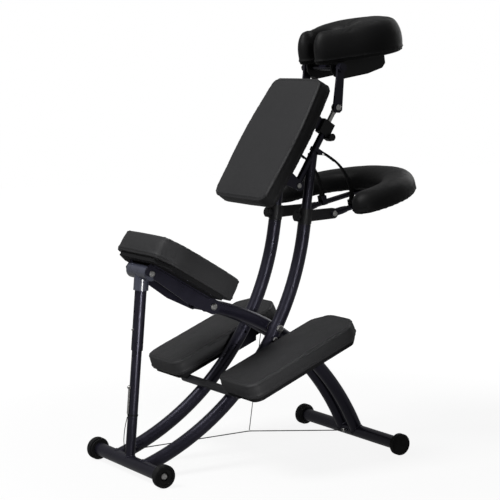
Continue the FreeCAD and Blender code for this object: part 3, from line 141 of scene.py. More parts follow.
def vinyl_finish(name, tint, gloss):
    """Black leatherette: a fine pebbled grain with painted shade in its creases, and a low soft sheen."""
    def tinted(grey, blue):
        return grey * tint, grey * tint, blue * tint

    material, tree, surface = new_finish(name, Specular_IOR_Level=gloss)
    place = object_place(tree)
    bend = grain(tree, place, 260.0)
    sway = add_node(tree, "ShaderNodeVectorMath", {0: bend, "Scale": 0.0006}, operation="SCALE").outputs[0]
    shifted = add_node(tree, "ShaderNodeVectorMath", {0: place, 1: bend, 2: sway}, operation="MULTIPLY_ADD")
    pebbles = add_node(tree, "ShaderNodeTexVoronoi", {"Vector": shifted.outputs[0], "Scale": 620.0},
                       feature="DISTANCE_TO_EDGE").outputs["Distance"]
    creases = ramp(tree, pebbles, 0.0, 1.0, 0.0, 0.16)
    pores = grain(tree, place, 2400.0, 1.0)
    height = sums(tree, "ADD", creases, sums(tree, "MULTIPLY", pores, 0.35))
    raised(tree, surface, height, 0.22, 0.00025)
    cloudy = grain(tree, place, 5.0, 3.0, 0.5)
    tone = ramp(tree, cloudy, tinted(0.93, 0.965), tinted(1.02, 1.06), 0.3, 0.7)
    # Painted shade: the creases between the pebbles are mixed towards a deeper black.
    painted_crease_shade = add_node(tree, "ShaderNodeMix", {"A": tone, "B": (*tinted(0.46, 0.48), 1.0)}, data_type="RGBA")
    shade = sums(tree, "MULTIPLY", sums(tree, "SUBTRACT", 1.0, creases), 0.45)
    tree.links.new(shade, painted_crease_shade.inputs["Factor"])
    tree.links.new(painted_crease_shade.outputs["Result"], surface.inputs["Base Color"])
    worn = grain(tree, place, 34.0, 3.0)
    tree.links.new(ramp(tree, worn, 0.46, 0.54, 0.3, 0.7), surface.inputs["Roughness"])
    return material


def paint_finish():
    """Satin black powder coat with a faint orange peel and small rubbed patches."""
    material, tree, surface = new_finish("frame_black", Specular_IOR_Level=0.46, Specular_Tint=(0.8, 0.78, 1.0, 1.0))
    place = object_place(tree)
    peel = grain(tree, place, 480.0, 2.0)
    specks = grain(tree, place, 1900.0, 1.0)
    raised(tree, surface, sums(tree, "ADD", peel, sums(tree, "MULTIPLY", specks, 0.4)), 0.1, 0.0002)
    patches = grain(tree, place, 16.0, 5.0, 0.65)
    tone = ramp(tree, patches, (0.0085, 0.008, 0.0135), (0.0125, 0.0118, 0.019), 0.35, 0.72)
    tree.links.new(tone, surface.inputs["Base Color"])
    tree.links.new(ramp(tree, patches, 0.26, 0.36, 0.35, 0.7), surface.inputs["Roughness"])
    return material


def moulded_finish():
    """Moulded black plastic with a fine eroded texture."""
    material, tree, surface = new_finish("black_plastic", Specular_IOR_Level=0.38)
    place = object_place(tree)
    fine = grain(tree, place, 1500.0, 3.0, 0.6)
    raised(tree, surface, fine, 0.16, 0.0002)
    cloudy = grain(tree, place, 40.0, 3.0)
    tone = ramp(tree, cloudy, (0.010, 0.010, 0.0115), (0.0165, 0.0165, 0.018), 0.3, 0.7)
    tree.links.new(tone, surface.inputs["Base Color"])
    tree.links.new(ramp(tree, fine, 0.42, 0.56, 0.3, 0.7), surface.inputs["Roughness"])
    return material


def rubber_finish():
    """Matt black rubber, greyed a little by floor dust towards its foot."""
    material, tree, surface = new_finish("black_rubber", Specular_IOR_Level=0.25)
    place = object_place(tree)
    fine = grain(tree, place, 900.0, 4.0, 0.6)
    raised(tree, surface, fine, 0.2, 0.0002)
    low = add_node(tree, "ShaderNodeSeparateXYZ", {"Vector": place}).outputs["Z"]
    near_floor = add_node(tree, "ShaderNodeMapRange",
                          {"Value": low, "From Min": 0.03, "From Max": 0.0, "To Min": 0.0, "To Max": 1.0}).outputs[0]
    patchy = grain(tree, place, 70.0, 4.0, 0.6)
    dust = sums(tree, "MULTIPLY", near_floor, patchy)
    tone = ramp(tree, dust, (0.010, 0.010, 0.0105), (0.034, 0.033, 0.031), 0.1, 0.75)
    tree.links.new(tone, surface.inputs["Base Color"])
    tree.links.new(ramp(tree, patchy, 0.6, 0.82, 0.3, 0.7), surface.inputs["Roughness"])
    return material


def plated_finish():
    """Zinc-plated steel with fine turning marks and dull spots."""
    material, tree, surface = new_finish("bolt_steel", Metallic=1.0)
    place = object_place(tree)
    stretched = add_node(tree, "ShaderNodeMapping", {"Vector": place, "Scale": (260.0, 2400.0, 260.0)}).outputs[0]
    marks = grain(tree, stretched, 1.0, 2.0)
    raised(tree, surface, marks, 0.08, 0.0001)
    spots = grain(tree, place, 210.0, 4.0, 0.6)
    tone = ramp(tree, spots, (0.36, 0.355, 0.35), (0.6, 0.595, 0.58), 0.35, 0.65)
    tree.links.new(tone, surface.inputs["Base Color"])
    tree.links.new(ramp(tree, marks, 0.22, 0.4, 0.3, 0.7), surface.inputs["Roughness"])
    return material


def bare_tube_finish():
    """The dull grey cross tube: drawn steel with lengthwise marks under a thin clear coat."""
    material, tree, surface = new_finish("cross_grey", Metallic=0.75)
    place = object_place(tree)
    drawn = add_node(tree, "ShaderNodeMapping", {"Vector": place, "Scale": (900.0, 22.0, 900.0)}).outputs[0]
    marks = grain(tree, drawn, 1.0, 3.0)
    raised(tree, surface, marks, 0.1, 0.0001)
    tone = ramp(tree, grain(tree, place, 30.0, 4.0), (0.042, 0.042, 0.047), (0.066, 0.066, 0.073), 0.3, 0.7)
    tree.links.new(tone, surface.inputs["Base Color"])
    tree.links.new(ramp(tree, marks, 0.34, 0.5, 0.3, 0.7), surface.inputs["Roughness"])
    return material


def board_finish():
    """Boards covered underneath with black non-woven cloth: pressed fibres in all directions."""
    material, tree, surface = new_finish("black_board", Specular_IOR_Level=0.12)
    place = object_place(tree)
    fibres = grain(tree, place, 700.0, 6.0, 0.75)
    dimples = add_node(tree, "ShaderNodeTexVoronoi", {"Vector": place, "Scale": 330.0}).outputs["Distance"]
    raised(tree, surface, sums(tree, "ADD", fibres, dimples), 0.3, 0.0002)
    tone = ramp(tree, fibres, (0.0075, 0.0075, 0.008), (0.019, 0.019, 0.020), 0.3, 0.7)
    tree.links.new(tone, surface.inputs["Base Color"])
    tree.links.new(ramp(tree, fibres, 0.75, 0.92, 0.3, 0.7), surface.inputs["Roughness"])
    return material


def webbing_finish():
    """Woven black webbing: ribs across the band and a plain weave along it, on the band's own map."""
    material, tree, surface = new_finish("black_webbing", Specular_IOR_Level=0.2, Sheen_Weight=0.12,
                                         Sheen_Roughness=0.5)
    place = add_node(tree, "ShaderNodeTexCoord").outputs["UV"]
    along = add_node(tree, "ShaderNodeTexWave", {"Vector": place, "Scale": 1.0, "Distortion": 0.3},
                     bands_direction="X").outputs["Fac"]
    across = add_node(tree, "ShaderNodeTexWave", {"Vector": place, "Scale": 1.0, "Distortion": 0.3},
                      bands_direction="Y").outputs["Fac"]
    weave = sums(tree, "MULTIPLY", along, across)
    raised(tree, surface, weave, 0.7, 0.0003)
    # Painted shade: the hollows of the weave are coloured a deeper black and its raised threads lighter.
    tone = ramp(tree, weave, (0.006, 0.006, 0.0065), (0.026, 0.026, 0.028), 0.05, 0.8)
    tree.links.new(tone, surface.inputs["Base Color"])
    tree.links.new(ramp(tree, weave, 0.9, 0.68, 0.1, 0.9), surface.inputs["Roughness"])
    return material


def cable_finish():
    """Black-coated steel cable, slightly shiny on its strands."""
    material, tree, surface = new_finish("cable_steel", Specular_IOR_Level=0.4)
    place = object_place(tree)
    worn = grain(tree, place, 120.0, 4.0, 0.6)
    tone = ramp(tree, worn, (0.010, 0.010, 0.011), (0.03, 0.03, 0.032), 0.35, 0.75)
    tree.links.new(tone, surface.inputs["Base Color"])
    tree.links.new(ramp(tree, worn, 0.4, 0.62, 0.3, 0.7), surface.inputs["Roughness"])
    return material


def lacquer_finish():
    """The post head's smooth blue-grey lacquer, made much lighter than the frame's paint as painted light: the
    lightness stands in for the light falling on the head.
    """
    material, tree, surface = new_finish("head_lacquer_painted_light", Specular_IOR_Level=0.6, Coat_Weight=0.3, Coat_Roughness=0.12)
    place = object_place(tree)
    cloudy = grain(tree, place, 26.0, 4.0)
    raised(tree, surface, grain(tree, place, 420.0), 0.06, 0.0002)
    tone = ramp(tree, cloudy, (0.052, 0.056, 0.082), (0.075, 0.08, 0.112), 0.3, 0.7)
    tree.links.new(tone, surface.inputs["Base Color"])
    tree.links.new(ramp(tree, cloudy, 0.26, 0.36, 0.3, 0.7), surface.inputs["Roughness"])
    return material


def thread_finish():
    """Bonded black sewing thread."""
    material, tree, surface = new_finish("sewing_thread", Specular_IOR_Level=0.3)
    place = object_place(tree)
    twist = grain(tree, place, 1800.0, 2.0)
    tree.links.new(ramp(tree, twist, (0.012, 0.012, 0.013), (0.034, 0.034, 0.036), 0.3, 0.7),
                   surface.inputs["Base Color"])
    tree.links.new(ramp(tree, twist, 0.5, 0.7, 0.3, 0.7), surface.inputs["Roughness"])
    return material


FINISHES = {
    "black_vinyl": vinyl_finish("black_vinyl", 0.043, 0.14),
    "frame_black": paint_finish(),
    "black_plastic": moulded_finish(),
    "black_rubber": rubber_finish(),
    "bolt_steel": plated_finish(),
    "cross_grey": bare_tube_finish(),
    "black_board": board_finish(),
    "black_webbing": webbing_finish(),
    "cable_steel": cable_finish(),
}
thread = thread_finish()
# A dimmer, glossier copy of the black vinyl for the cradle and armrest cushions; part of its dimness is painted shade,
# standing in for the shade over the armrest.
soft_vinyl_painted_shade = vinyl_finish("soft_black_vinyl_painted_shade", 0.011, 0.17)
lacquer = lacquer_finish()

# Each part takes its slot's finish, except the post head, which takes the lacquer, lighter than its black slot as
# painted light.
for row in frame["record"]["subparts"]:
    mesh = nodes[row["node"]].data
    mesh.materials.clear()
    mesh.materials.append(lacquer if row["node"] == "post_head" else FINISHES[row["material_slot"]])


# Cords

CABLE_ROUTE = [(-0.4256, 0.0, 0.066), (-0.0736, 0.0, 0.0689), (-0.0556, 0.0, 0.069), (-0.0376, 0.0, 0.0668),
               (0.2792, 0.0, 0.029)]
LIFT_ROUTE = [(-0.014755, 0.0, 0.36857), (-0.0342, 0.0, 0.219), (-0.0556, 0.0, 0.0715)]
LANYARD_ROUTE = [(-0.45852, 0.0, 0.16092), (-0.46332, 0.0, 0.14527), (-0.46746, 0.0, 0.12554),
                 (-0.47010, 0.0, 0.10569), (-0.47058, 0.0, 0.08767), (-0.46791, 0.0, 0.07139),
                 (-0.46657, 0.0, 0.05723)]


def route_line(name, route):
    """Points along the smooth line that the route's points control."""
    curve = bpy.data.curves.new(name, "CURVE")
    curve.dimensions = "3D"
    curve.resolution_u = 24
    spline = curve.splines.new("NURBS")
    spline.points.add(len(route) - 1)
    for point, place in zip(spline.points, route):
        point.co = (*place, 1.0)
    spline.order_u = 3
    spline.use_endpoint_u = True
    holder = new_object(name, curve)
    line = evaluated_mesh(holder)
    spots = [vertex.co.copy() for vertex in line.vertices]
    bpy.data.objects.remove(holder)
    bpy.data.meshes.remove(line)
    return spots


def even_line(spots, step=None, count=None):
    """The same line with points at an even spacing, or an even number of them."""
    reach = [0.0]
    for before, after in zip(spots, spots[1:]):
        reach.append(reach[-1] + (after - before).length)
    count = count or max(2, round(reach[-1] / step))
    wanted = np.linspace(0.0, reach[-1], count + 1)
    columns = [np.interp(wanted, reach, [spot[axis] for spot in spots]) for axis in range(3)]
    return [Vector(row) for row in zip(*columns)]


THREAD_PITCH = 0.0012
RIB = 0.314  # what one band of the webbing's waves takes of its map


def skin_rows(bm, rows, along, around):
    """Close a tube over rows of points, with a map that counts threads along it and round it."""
    layer = bm.loops.layers.uv.new("threads")
    ring = len(rows[0])
    for i in range(len(rows) - 1):
        for k in range(ring):
            corners = ((i, k), (i + 1, k), (i + 1, k + 1), (i, k + 1))
            face = bm.faces.new([rows[row][column % ring] for row, column in corners])
            for loop, (row, column) in zip(face.loops, corners):
                loop[layer].uv = (along[row] / THREAD_PITCH * RIB, around * column / ring / THREAD_PITCH * RIB)
    bm.faces.new(rows[0])
    bm.faces.new(list(reversed(rows[-1])))
    bmesh.ops.recalc_face_normals(bm, faces=bm.faces)


def laid_cord(name, spots, diameter, strands, lay):
    """A tube of twisted strands along a line: lobes that turn once in every lay."""
    ring = strands * 4
    mesh = bpy.data.meshes.new(name)
    bm = bmesh.new()
    rows = []
    along = []
    turned = 0.0
    for i, spot in enumerate(spots):
        along.append(turned * lay / (2 * math.pi))
        way = (spots[min(i + 1, len(spots) - 1)] - spots[max(i - 1, 0)]).normalized()
        side = Vector((0.0, 1.0, 0.0))
        up = way.cross(side).normalized()
        turned += (spot - spots[max(i - 1, 0)]).length / lay * 2 * math.pi
        row = []
        for k in range(ring):
            angle = 2 * math.pi * k / ring
            lobe = abs(math.cos(strands / 2 * (angle - turned)))
            radius = diameter / 2 * (0.86 + 0.14 * lobe)
            row.append(bm.verts.new(spot + side * radius * math.cos(angle) + up * radius * math.sin(angle)))
        rows.append(row)
    skin_rows(bm, rows, along, diameter * math.pi)
    bm.to_mesh(mesh)
    bm.free()
    smooth(mesh)
    return new_object(name, mesh)


def make_cord(name, route, diameter, finish, step, lay, strands=6):
    line = even_line(route_line(f"{name}_route", route), step)
    piece = laid_cord(name, line, diameter, strands, lay)
    piece.data.materials.append(FINISHES[finish])
    return piece, line


stay, stay_line = make_cord("stay_cable_laid", CABLE_ROUTE, 0.003, "cable_steel", step=0.0035, lay=0.022)
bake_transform(stay)
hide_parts("stay_cable")

lift, lift_line = make_cord("lift_cord_laid", LIFT_ROUTE, 0.0024, "cable_steel", step=0.0035, lay=0.018)
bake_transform(lift)
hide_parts("lift_cord")

lanyard, lanyard_line = make_cord("pin_lanyard_laid", LANYARD_ROUTE, 0.0024, "black_webbing", step=0.002, lay=0.011,
                                  strands=4)
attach(lanyard, "main_frame")
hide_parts("pin_lanyard")


# Upholstery

# A profile is pairs of a share of the cushion's height, from its foot up, and the outline's inset there.
FIRM = ((0.0, 4.5), (0.1, 1.0), (0.45, 0.0), (0.8, 1.0), (0.92, 4.0), (0.975, 10.0), (1.0, 30.0))
PLUMP = ((0.0, 9.0), (0.1, 2.5), (0.3, 0.0), (0.5, 1.2), (0.65, 4.0), (0.78, 8.8), (0.88, 14.5), (0.95, 20.0),
         (1.0, 27.0))


def arc_points(centre, radius, start, end):
    """Points along an arc in millimetres, its angles in degrees."""
    count = max(3, round(abs(math.radians(end - start)) * radius / 3))
    spots = []
    for i in range(count + 1):
        angle = math.radians(start + (end - start) * i / count)
        spots.append((centre[0] + radius * math.cos(angle), centre[1] + radius * math.sin(angle)))
    return spots


def both_sides(half):
    """A whole outline from the half at +y."""
    return half + [(x, -y, *rest) for x, y, *rest in reversed(half)]


def cornered(corners, inset):
    """An outline of (x, y, corner radius) corners, counter-clockwise, drawn in by an inset."""
    spots = [Vector(corner[:2]) for corner in corners]
    count = len(spots)
    ways = [(spots[(i + 1) % count] - spots[i]).normalized() for i in range(count)]
    outline = []
    for i, (_, _, radius) in enumerate(corners):
        before = ways[i - 1]
        after = ways[i]
        inward = Vector((-before.y - after.y, before.x + after.x))
        corner = spots[i] + inward * (inset / (1 + before.dot(after)))
        turn = before.angle(after)
        bow = max(radius - inset, 5.0)
        centre = corner + (after - before).normalized() * (bow / math.cos(turn / 2))
        first = math.degrees(math.atan2(-before.x, before.y))
        outline += arc_points(centre, bow, first, first + math.degrees(turn))
    return outline


def crescent(inset):
    """The armrest's outline: an outer and an inner circle joined by round tips."""
    outer_x, inner_x, outer, tip, tip_angle = 63.0, 41.0, 250.0, 46.0, 98.0
    spread = math.radians(tip_angle)
    tip_at = (outer_x + (outer - tip) * math.cos(spread), (outer - tip) * math.sin(spread))
    inner_angle = math.degrees(math.atan2(tip_at[1], tip_at[0] - inner_x))
    inner = math.hypot(tip_at[0] - inner_x, tip_at[1]) - tip + inset
    half = arc_points((outer_x, 0.0), outer - inset, 0, tip_angle)
    half += arc_points(tip_at, tip - inset, tip_angle, inner_angle + 180)
    half += arc_points((inner_x, 0.0), inner, inner_angle, 0)
    return half[1:-1] + [(x, -y) for x, y in reversed(half)]


def horseshoe(inset):
    """The face cushion's outline: a round front, tapering arms with round tips, and the slot for the face."""
    front, tip, slot_centre = Vector((127.0, 0.0)), Vector((-26.0, 40.0)), Vector((38.0, 0.0))
    big, small, slot = 140.0, 30.0, 42.0
    across = tip - front
    inward = slot_centre - tip
    side = math.degrees(math.atan2(across.y, across.x) - math.acos((big - small) / across.length))
    heel = math.degrees(math.atan2(inward.y, inward.x) - math.acos((small + slot) / inward.length))
    half = arc_points(front, big - inset, 0, side)
    half += arc_points(tip, small - inset, side, heel + 360)
    half += arc_points(slot_centre, slot + inset, heel + 180, 0)
    return half[1:-1] + [(x, -y) for x, y in reversed(half)]


SEAT_CORNERS = both_sides([(10, 129, 30), (-50, 145, 200), (-218.2, 145, 60), (-276, 111, 34)])
LEG_CORNERS = both_sides([(203, 53, 34), (159, 97, 34), (-203, 97, 38)])
CHEST_CORNERS = both_sides([(202.5, 124, 34), (25, 150, 900), (-202.5, 138, 34)])


def tipped(x, y, z, turn, lift=0.0):
    """A place in the chair turned about +Y by degrees, then raised along its own z."""
    here = Matrix.Translation((x, y, z)) @ Matrix.Rotation(math.radians(turn), 4, "Y")
    return here @ Matrix.Translation((0.0, 0.0, lift))


CHEST_PLACE = tipped(-0.0796, 0.0, 0.735, 31.8)
STOOD_UP = Matrix.Translation((0.0097, 0.0, 0.2055)) @ Matrix.Rotation(math.radians(-90), 4, "Y")

CUSHIONS = {
    "seat_cushion": {
        "body": "seat", "place": tipped(-0.2106, 0.0, 0.456, 30.5, 0.0273), "corners": SEAT_CORNERS,
        "profile": FIRM, "thick": 66.0, "rise": 5.0, "fill": 0.8},
    "leg_pad_left": {
        "body": "main_frame", "place": tipped(-0.0356, 0.2005, 0.29272, -22.3, 0.0123), "corners": LEG_CORNERS,
        "profile": FIRM, "thick": 46.0, "rise": 4.0, "fill": 0.8},
    "leg_pad_right": {
        "body": "main_frame", "place": tipped(-0.0356, -0.2005, 0.29272, -22.3, 0.0123), "corners": LEG_CORNERS,
        "profile": FIRM, "thick": 46.0, "rise": 4.0, "fill": 0.8},
    "chest_cushion": {
        "body": "chest", "place": CHEST_PLACE @ STOOD_UP, "corners": CHEST_CORNERS,
        "profile": FIRM, "thick": 38.0, "skirt": 9.4, "rise": 4.0, "fill": 0.85},
    "cradle_cushion": {
        "body": "cradle_platform", "place": tipped(0.2034, 0.0, 1.121, -9.5, 0.0248), "shape": horseshoe,
        "profile": PLUMP, "thick": 93.0, "skirt": 9.5, "rise": 8.0, "fill": 0.7, "centre_seam": (84.0, 258.0)},
    "armrest_cushion": {
        "body": "armrest", "place": tipped(0.183963, 0.0, 0.700741, -12.0, 0.0166), "shape": crescent,
        "profile": PLUMP, "thick": 54.0, "skirt": 8.0, "rise": 7.0, "fill": 0.7},
}
VOXEL = 0.005
RING = 360
BOARD_EDGE = 13.6
SLACK = 0.0015
FOOT_BAND = 2.0
SEAM_HELD = 0.004
FIRM_EASING = 24
PLUMP_EASING = 40
FOAM_PRESSURE = 4.0
SETTLE_FRAMES = 20


def outline_at(cushion, inset, height):
    """The cushion's outline, drawn in and at a height in millimetres, as a closed line in the chair."""
    outline = cushion["shape"](inset) if "shape" in cushion else cornered(cushion["corners"], inset)
    spots = [cushion["place"] @ Vector((x * MM, y * MM, height * MM)) for x, y in outline]
    return spots + spots[:1]


def height_at(cushion, share):
    skirt = cushion.get("skirt", 0.0)
    return share * (cushion["thick"] + skirt) - skirt


def seam_line(cushion, share, further_in=0.0):
    """The outline at a share of the cushion's height, as an even line."""
    inset = float(np.interp(share, *zip(*cushion["profile"]))) + further_in
    return even_line(outline_at(cushion, inset, height_at(cushion, share)), 0.0012)[:-1]


def tree_of(spots):
    tree = KDTree(len(spots))
    for i, spot in enumerate(spots):
        tree.insert(spot, i)
    tree.balance()
    return tree


def sewn_form(name, cushion):
    """A closed form of even small faces over the cushion's outlines, with a skirt round the board where it has one."""
    levels = [(inset, height_at(cushion, share)) for share, inset in reversed(cushion["profile"])]
    if "skirt" in cushion:
        levels += [(BOARD_EDGE, height_at(cushion, 0.0)), (BOARD_EDGE, 0.0)]
    bm = bmesh.new()
    rings = []
    for inset, height in levels:
        line = even_line(outline_at(cushion, inset, height), count=RING)[:-1]
        rings.append([bm.verts.new(spot) for spot in line])
    for upper, lower in zip(rings, rings[1:]):
        for k in range(RING):
            bm.faces.new((upper[k], lower[k], lower[(k + 1) % RING], upper[(k + 1) % RING]))
    bm.faces.new(rings[0])
    bm.faces.new(list(reversed(rings[-1])))
    bmesh.ops.recalc_face_normals(bm, faces=bm.faces)
    mesh = bpy.data.meshes.new(name)
    bm.to_mesh(mesh)
    bm.free()
    rough = new_object(name, mesh)
    remesh = rough.modifiers.new("even_faces", "REMESH")
    remesh.mode = "VOXEL"
    remesh.voxel_size = VOXEL
    even = evaluated_mesh(rough)
    bpy.data.objects.remove(rough)
    even.materials.append(FINISHES["black_vinyl"] if cushion["profile"] is FIRM else soft_vinyl_painted_shade)
    smooth(even)
    return new_object(name, even)


def coordinates(mesh):
    flat = np.zeros(len(mesh.vertices) * 3)
    mesh.vertices.foreach_get("co", flat)
    return flat.reshape(-1, 3)


def eased(mesh, spots, free, rounds):
    """The free points drawn towards their neighbours' middle, round after round."""
    ends = np.zeros(len(mesh.edges) * 2, dtype=np.int64)
    mesh.edges.foreach_get("vertices", ends)
    first, second = ends.reshape(-1, 2).T
    number = np.bincount(ends, minlength=len(spots))[:, None]
    for _ in range(rounds):
        total = np.zeros_like(spots)
        np.add.at(total, first, spots[second])
        np.add.at(total, second, spots[first])
        spots[free] += 0.5 * (total / number - spots)[free]
    return spots


def fill_with_foam(piece, cushion, seams):
    """Swell the cover between its seams with the pressure of the foam, up to the cushion's rise."""
    mesh = piece.data
    start = coordinates(mesh)
    normals = np.array([vertex.normal for vertex in mesh.vertices])
    up = np.array(cushion["place"].to_3x3() @ Vector((0.0, 0.0, 1.0)))
    height = (start - np.array(cushion["place"].translation)) @ up
    foot = height < (-cushion.get("skirt", 0.0) + FOOT_BAND) * MM
    underside = normals @ up < -0.5
    tree = tree_of(seams)
    near = np.array([tree.find(Vector(spot))[2] for spot in start])
    held = foot | underside | (near < SEAM_HELD)
    start = eased(mesh, start, ~held, PLUMP_EASING if cushion["profile"] is PLUMP else FIRM_EASING)
    start[~held] -= normals[~held] * SLACK
    mesh.vertices.foreach_set("co", start.ravel())
    mesh.update()
    group = piece.vertex_groups.new(name="held")
    group.add([int(i) for i in np.nonzero(held)[0]], 1.0, "REPLACE")
    cloth = piece.modifiers.new("foam", "CLOTH")
    settings = cloth.settings
    settings.quality = 4
    settings.mass = 0.3
    settings.tension_stiffness = 25.0
    settings.compression_stiffness = 25.0
    settings.shear_stiffness = 10.0
    settings.bending_stiffness = 1.0
    settings.use_pressure = True
    settings.uniform_pressure_force = FOAM_PRESSURE
    settings.effector_weights.gravity = 0.0
    settings.vertex_group_mass = "held"
    cloth.collision_settings.use_collision = False
    cloth.point_cache.frame_start = 1
    cloth.point_cache.frame_end = SETTLE_FRAMES
    for number in range(1, SETTLE_FRAMES + 1):
        scene.frame_set(number)
    settled = evaluated_mesh(piece)
    shift = coordinates(settled) - start
    bpy.data.meshes.remove(settled)
    scene.frame_set(1)
    piece.modifiers.remove(cloth)
    piece.vertex_groups.clear()
    reach = np.linalg.norm(shift, axis=1, keepdims=True)
    most = cushion["rise"] * MM
    moved = start + shift * np.minimum(1.0, most / np.maximum(reach, 1e-9))
    mesh.vertices.foreach_set("co", moved.ravel())
    mesh.update()


def refine(piece):
    """One subdivision, applied."""
    finer = piece.modifiers.new("finer", "SUBSURF")
    finer.levels = 1
    finer.render_levels = 1
    mesh = evaluated_mesh(piece)
    piece.modifiers.remove(finer)
    old = piece.data
    piece.data = mesh
    bpy.data.meshes.remove(old)
    smooth(mesh)


SEAM_DEPTH = 0.0016
SEAM_HALF = 0.0026
SEAM_REACH = 0.03
PUCKER = 0.00045
PUCKER_PITCH = 0.013
PUCKER_START = 0.003
PUCKER_FADE = 0.010
SWELL = 0.0005
SWELLS_PER_METRE = 21.0


def sew_seams(piece, lines):
    """Draw the cover in along its seams, with a raised lip on both sides and small puckers across."""
    mesh = piece.data
    spots = coordinates(mesh)
    normals = np.array([vertex.normal for vertex in mesh.vertices])
    for line in lines:
        step = (line[1] - line[0]).length
        tree = tree_of(line)
        for i, spot in enumerate(spots):
            _, place, gap = tree.find(Vector(spot))
            if gap > SEAM_REACH:
                continue
            along = place * step
            depth = -SEAM_DEPTH * math.exp(-(gap / SEAM_HALF) ** 2)
            lip = 0.45 * SEAM_DEPTH * math.exp(-((gap - 2.1 * SEAM_HALF) / SEAM_HALF) ** 2)
            sway = noise.noise(Vector((along * 22.0, gap * 40.0, 3.0)))
            pucker = PUCKER * sway * math.sin(along / PUCKER_PITCH * 2 * math.pi) * math.exp(-gap / PUCKER_FADE)
            spots[i] += normals[i] * (depth + lip + pucker * min(1.0, gap / PUCKER_START))
    swells = [noise.noise(Vector(spot) * SWELLS_PER_METRE) * SWELL for spot in spots]
    spots += normals * np.array(swells)[:, None]
    mesh.vertices.foreach_set("co", spots.ravel())
    mesh.update()


def surface_of(mesh):
    return BVHTree.FromPolygons([vertex.co for vertex in mesh.vertices], [face.vertices for face in mesh.polygons])


def laid_on(piece, line, lift):
    """The line brought onto the piece's surface."""
    surface = surface_of(piece.data)
    spots = []
    for spot in line:
        place, normal, _, _ = surface.find_nearest(spot)
        spots.append(place + normal * lift)
    return spots


# Rows of stitches, staples and weld beads along a path


ROW_SEED = 4


def row_tree(name, shape, fixed, sizes, uneven=0.0):
    """A node tree that sets one small shape after another along a path, and gives them a finish."""
    tree = bpy.data.node_groups.new(name, "GeometryNodeTree")
    face = tree.interface
    face.new_socket("Path", in_out="INPUT", socket_type="NodeSocketGeometry")
    for socket in ("Pitch", "Length", "Thickness"):
        face.new_socket(socket, in_out="INPUT", socket_type="NodeSocketFloat")
    face.new_socket("Finish", in_out="INPUT", socket_type="NodeSocketMaterial")
    face.new_socket("Row", in_out="OUTPUT", socket_type="NodeSocketGeometry")
    given = add_node(tree, "NodeGroupInput").outputs
    path = add_node(tree, "GeometryNodeMeshToCurve", {"Mesh": given["Path"]})
    places = add_node(tree, "GeometryNodeCurveToPoints", {"Curve": path.outputs["Curve"], "Length": given["Pitch"]},
                      mode="LENGTH")
    half = sums(tree, "MULTIPLY", given["Thickness"], 0.5)
    measures = {"length": given["Length"], "half": half, "thickness": given["Thickness"]}
    measured = {socket: measures[size] for socket, size in sizes.items()}
    unit = add_node(tree, shape, {**fixed, **measured})
    scale = add_node(tree, "FunctionNodeRandomValue", {0: (1 - uneven,) * 3, 1: (1 + uneven,) * 3, "Seed": ROW_SEED},
                     data_type="FLOAT_VECTOR")
    row = add_node(tree, "GeometryNodeInstanceOnPoints",
                   {"Points": places.outputs["Points"], "Instance": unit.outputs["Mesh"],
                    "Rotation": places.outputs["Rotation"], "Scale": scale.outputs[0]})
    solid = add_node(tree, "GeometryNodeRealizeInstances", {"Geometry": row.outputs["Instances"]})
    finished = add_node(tree, "GeometryNodeSetMaterial",
                        {"Geometry": solid.outputs["Geometry"], "Material": given["Finish"]})
    add_node(tree, "NodeGroupOutput", {"Row": finished.outputs["Geometry"]})
    return tree


WIRE = {"Radius": "half", "Depth": "length"}
BEAD = {"Radius": "half"}
stitch_row = row_tree("stitch_row", "GeometryNodeMeshCylinder", {"Vertices": 6}, WIRE)
staple_row = row_tree("staple_row", "GeometryNodeMeshCylinder", {"Vertices": 4}, WIRE)
weld_row = row_tree("weld_row", "GeometryNodeMeshIcoSphere", {"Subdivisions": 2}, BEAD, uneven=0.14)


def set_row(name, tree, lines, pitch, length, thickness, finish, closed=True):
    """A finished row along one line or several, as a plain mesh."""
    mesh = bpy.data.meshes.new(name)
    spots = []
    edges = []
    for line in lines:
        first = len(spots)
        spots += [tuple(spot) for spot in line]
        edges += [(first + i, first + i + 1) for i in range(len(line) - 1)]
        if closed:
            edges.append((len(spots) - 1, first))
    mesh.from_pydata(spots, edges, [])
    holder = new_object(f"{name}_path", mesh)
    rows = holder.modifiers.new("row", "NODES")
    rows.node_group = tree
    given = {"Pitch": pitch, "Length": length, "Thickness": thickness, "Finish": finish}
    for item in tree.interface.items_tree:
        if item.in_out == "INPUT" and item.name in given:
            rows[item.identifier] = given[item.name]
    made = evaluated_mesh(holder)
    bpy.data.objects.remove(holder)
    smooth(made)
    return new_object(name, made)


TOP_SEAM = 0.945
HEM = 0.07
STITCH_IN = 4.2
STITCH_PITCH, STITCH_LENGTH, STITCH_THREAD = 0.0046, 0.0034, 0.0009


def make_cushion(node):
    cushion = CUSHIONS[node]
    boxed = cushion["profile"] is FIRM
    hem = seam_line(cushion, HEM)
    seams = [hem, seam_line(cushion, TOP_SEAM)] if boxed else [hem]
    piece = sewn_form(f"{node}_soft", cushion)
    fill_with_foam(piece, cushion, sum(seams, []))
    refine(piece)
    if "centre_seam" in cushion:
        reach = np.linspace(*cushion["centre_seam"], 160)
        over = [cushion["place"] @ Vector((x * MM, 0.0, cushion["thick"] * MM)) for x in reach]
        seams.append(laid_on(piece, over, 0.0))
    sew_seams(piece, seams)
    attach(piece, cushion["body"])
    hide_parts(node)
    beside = seam_line(cushion, TOP_SEAM + 0.012, STITCH_IN) if boxed else seam_line(cushion, HEM + 0.05)
    stitches = set_row(f"{node}_stitches", stitch_row, [laid_on(piece, beside, 0.0001)], STITCH_PITCH, STITCH_LENGTH,
                       STITCH_THREAD, thread)
    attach(stitches, cushion["body"])


for cushion_node in CUSHIONS:
    make_cushion(cushion_node)


# Armrest straps

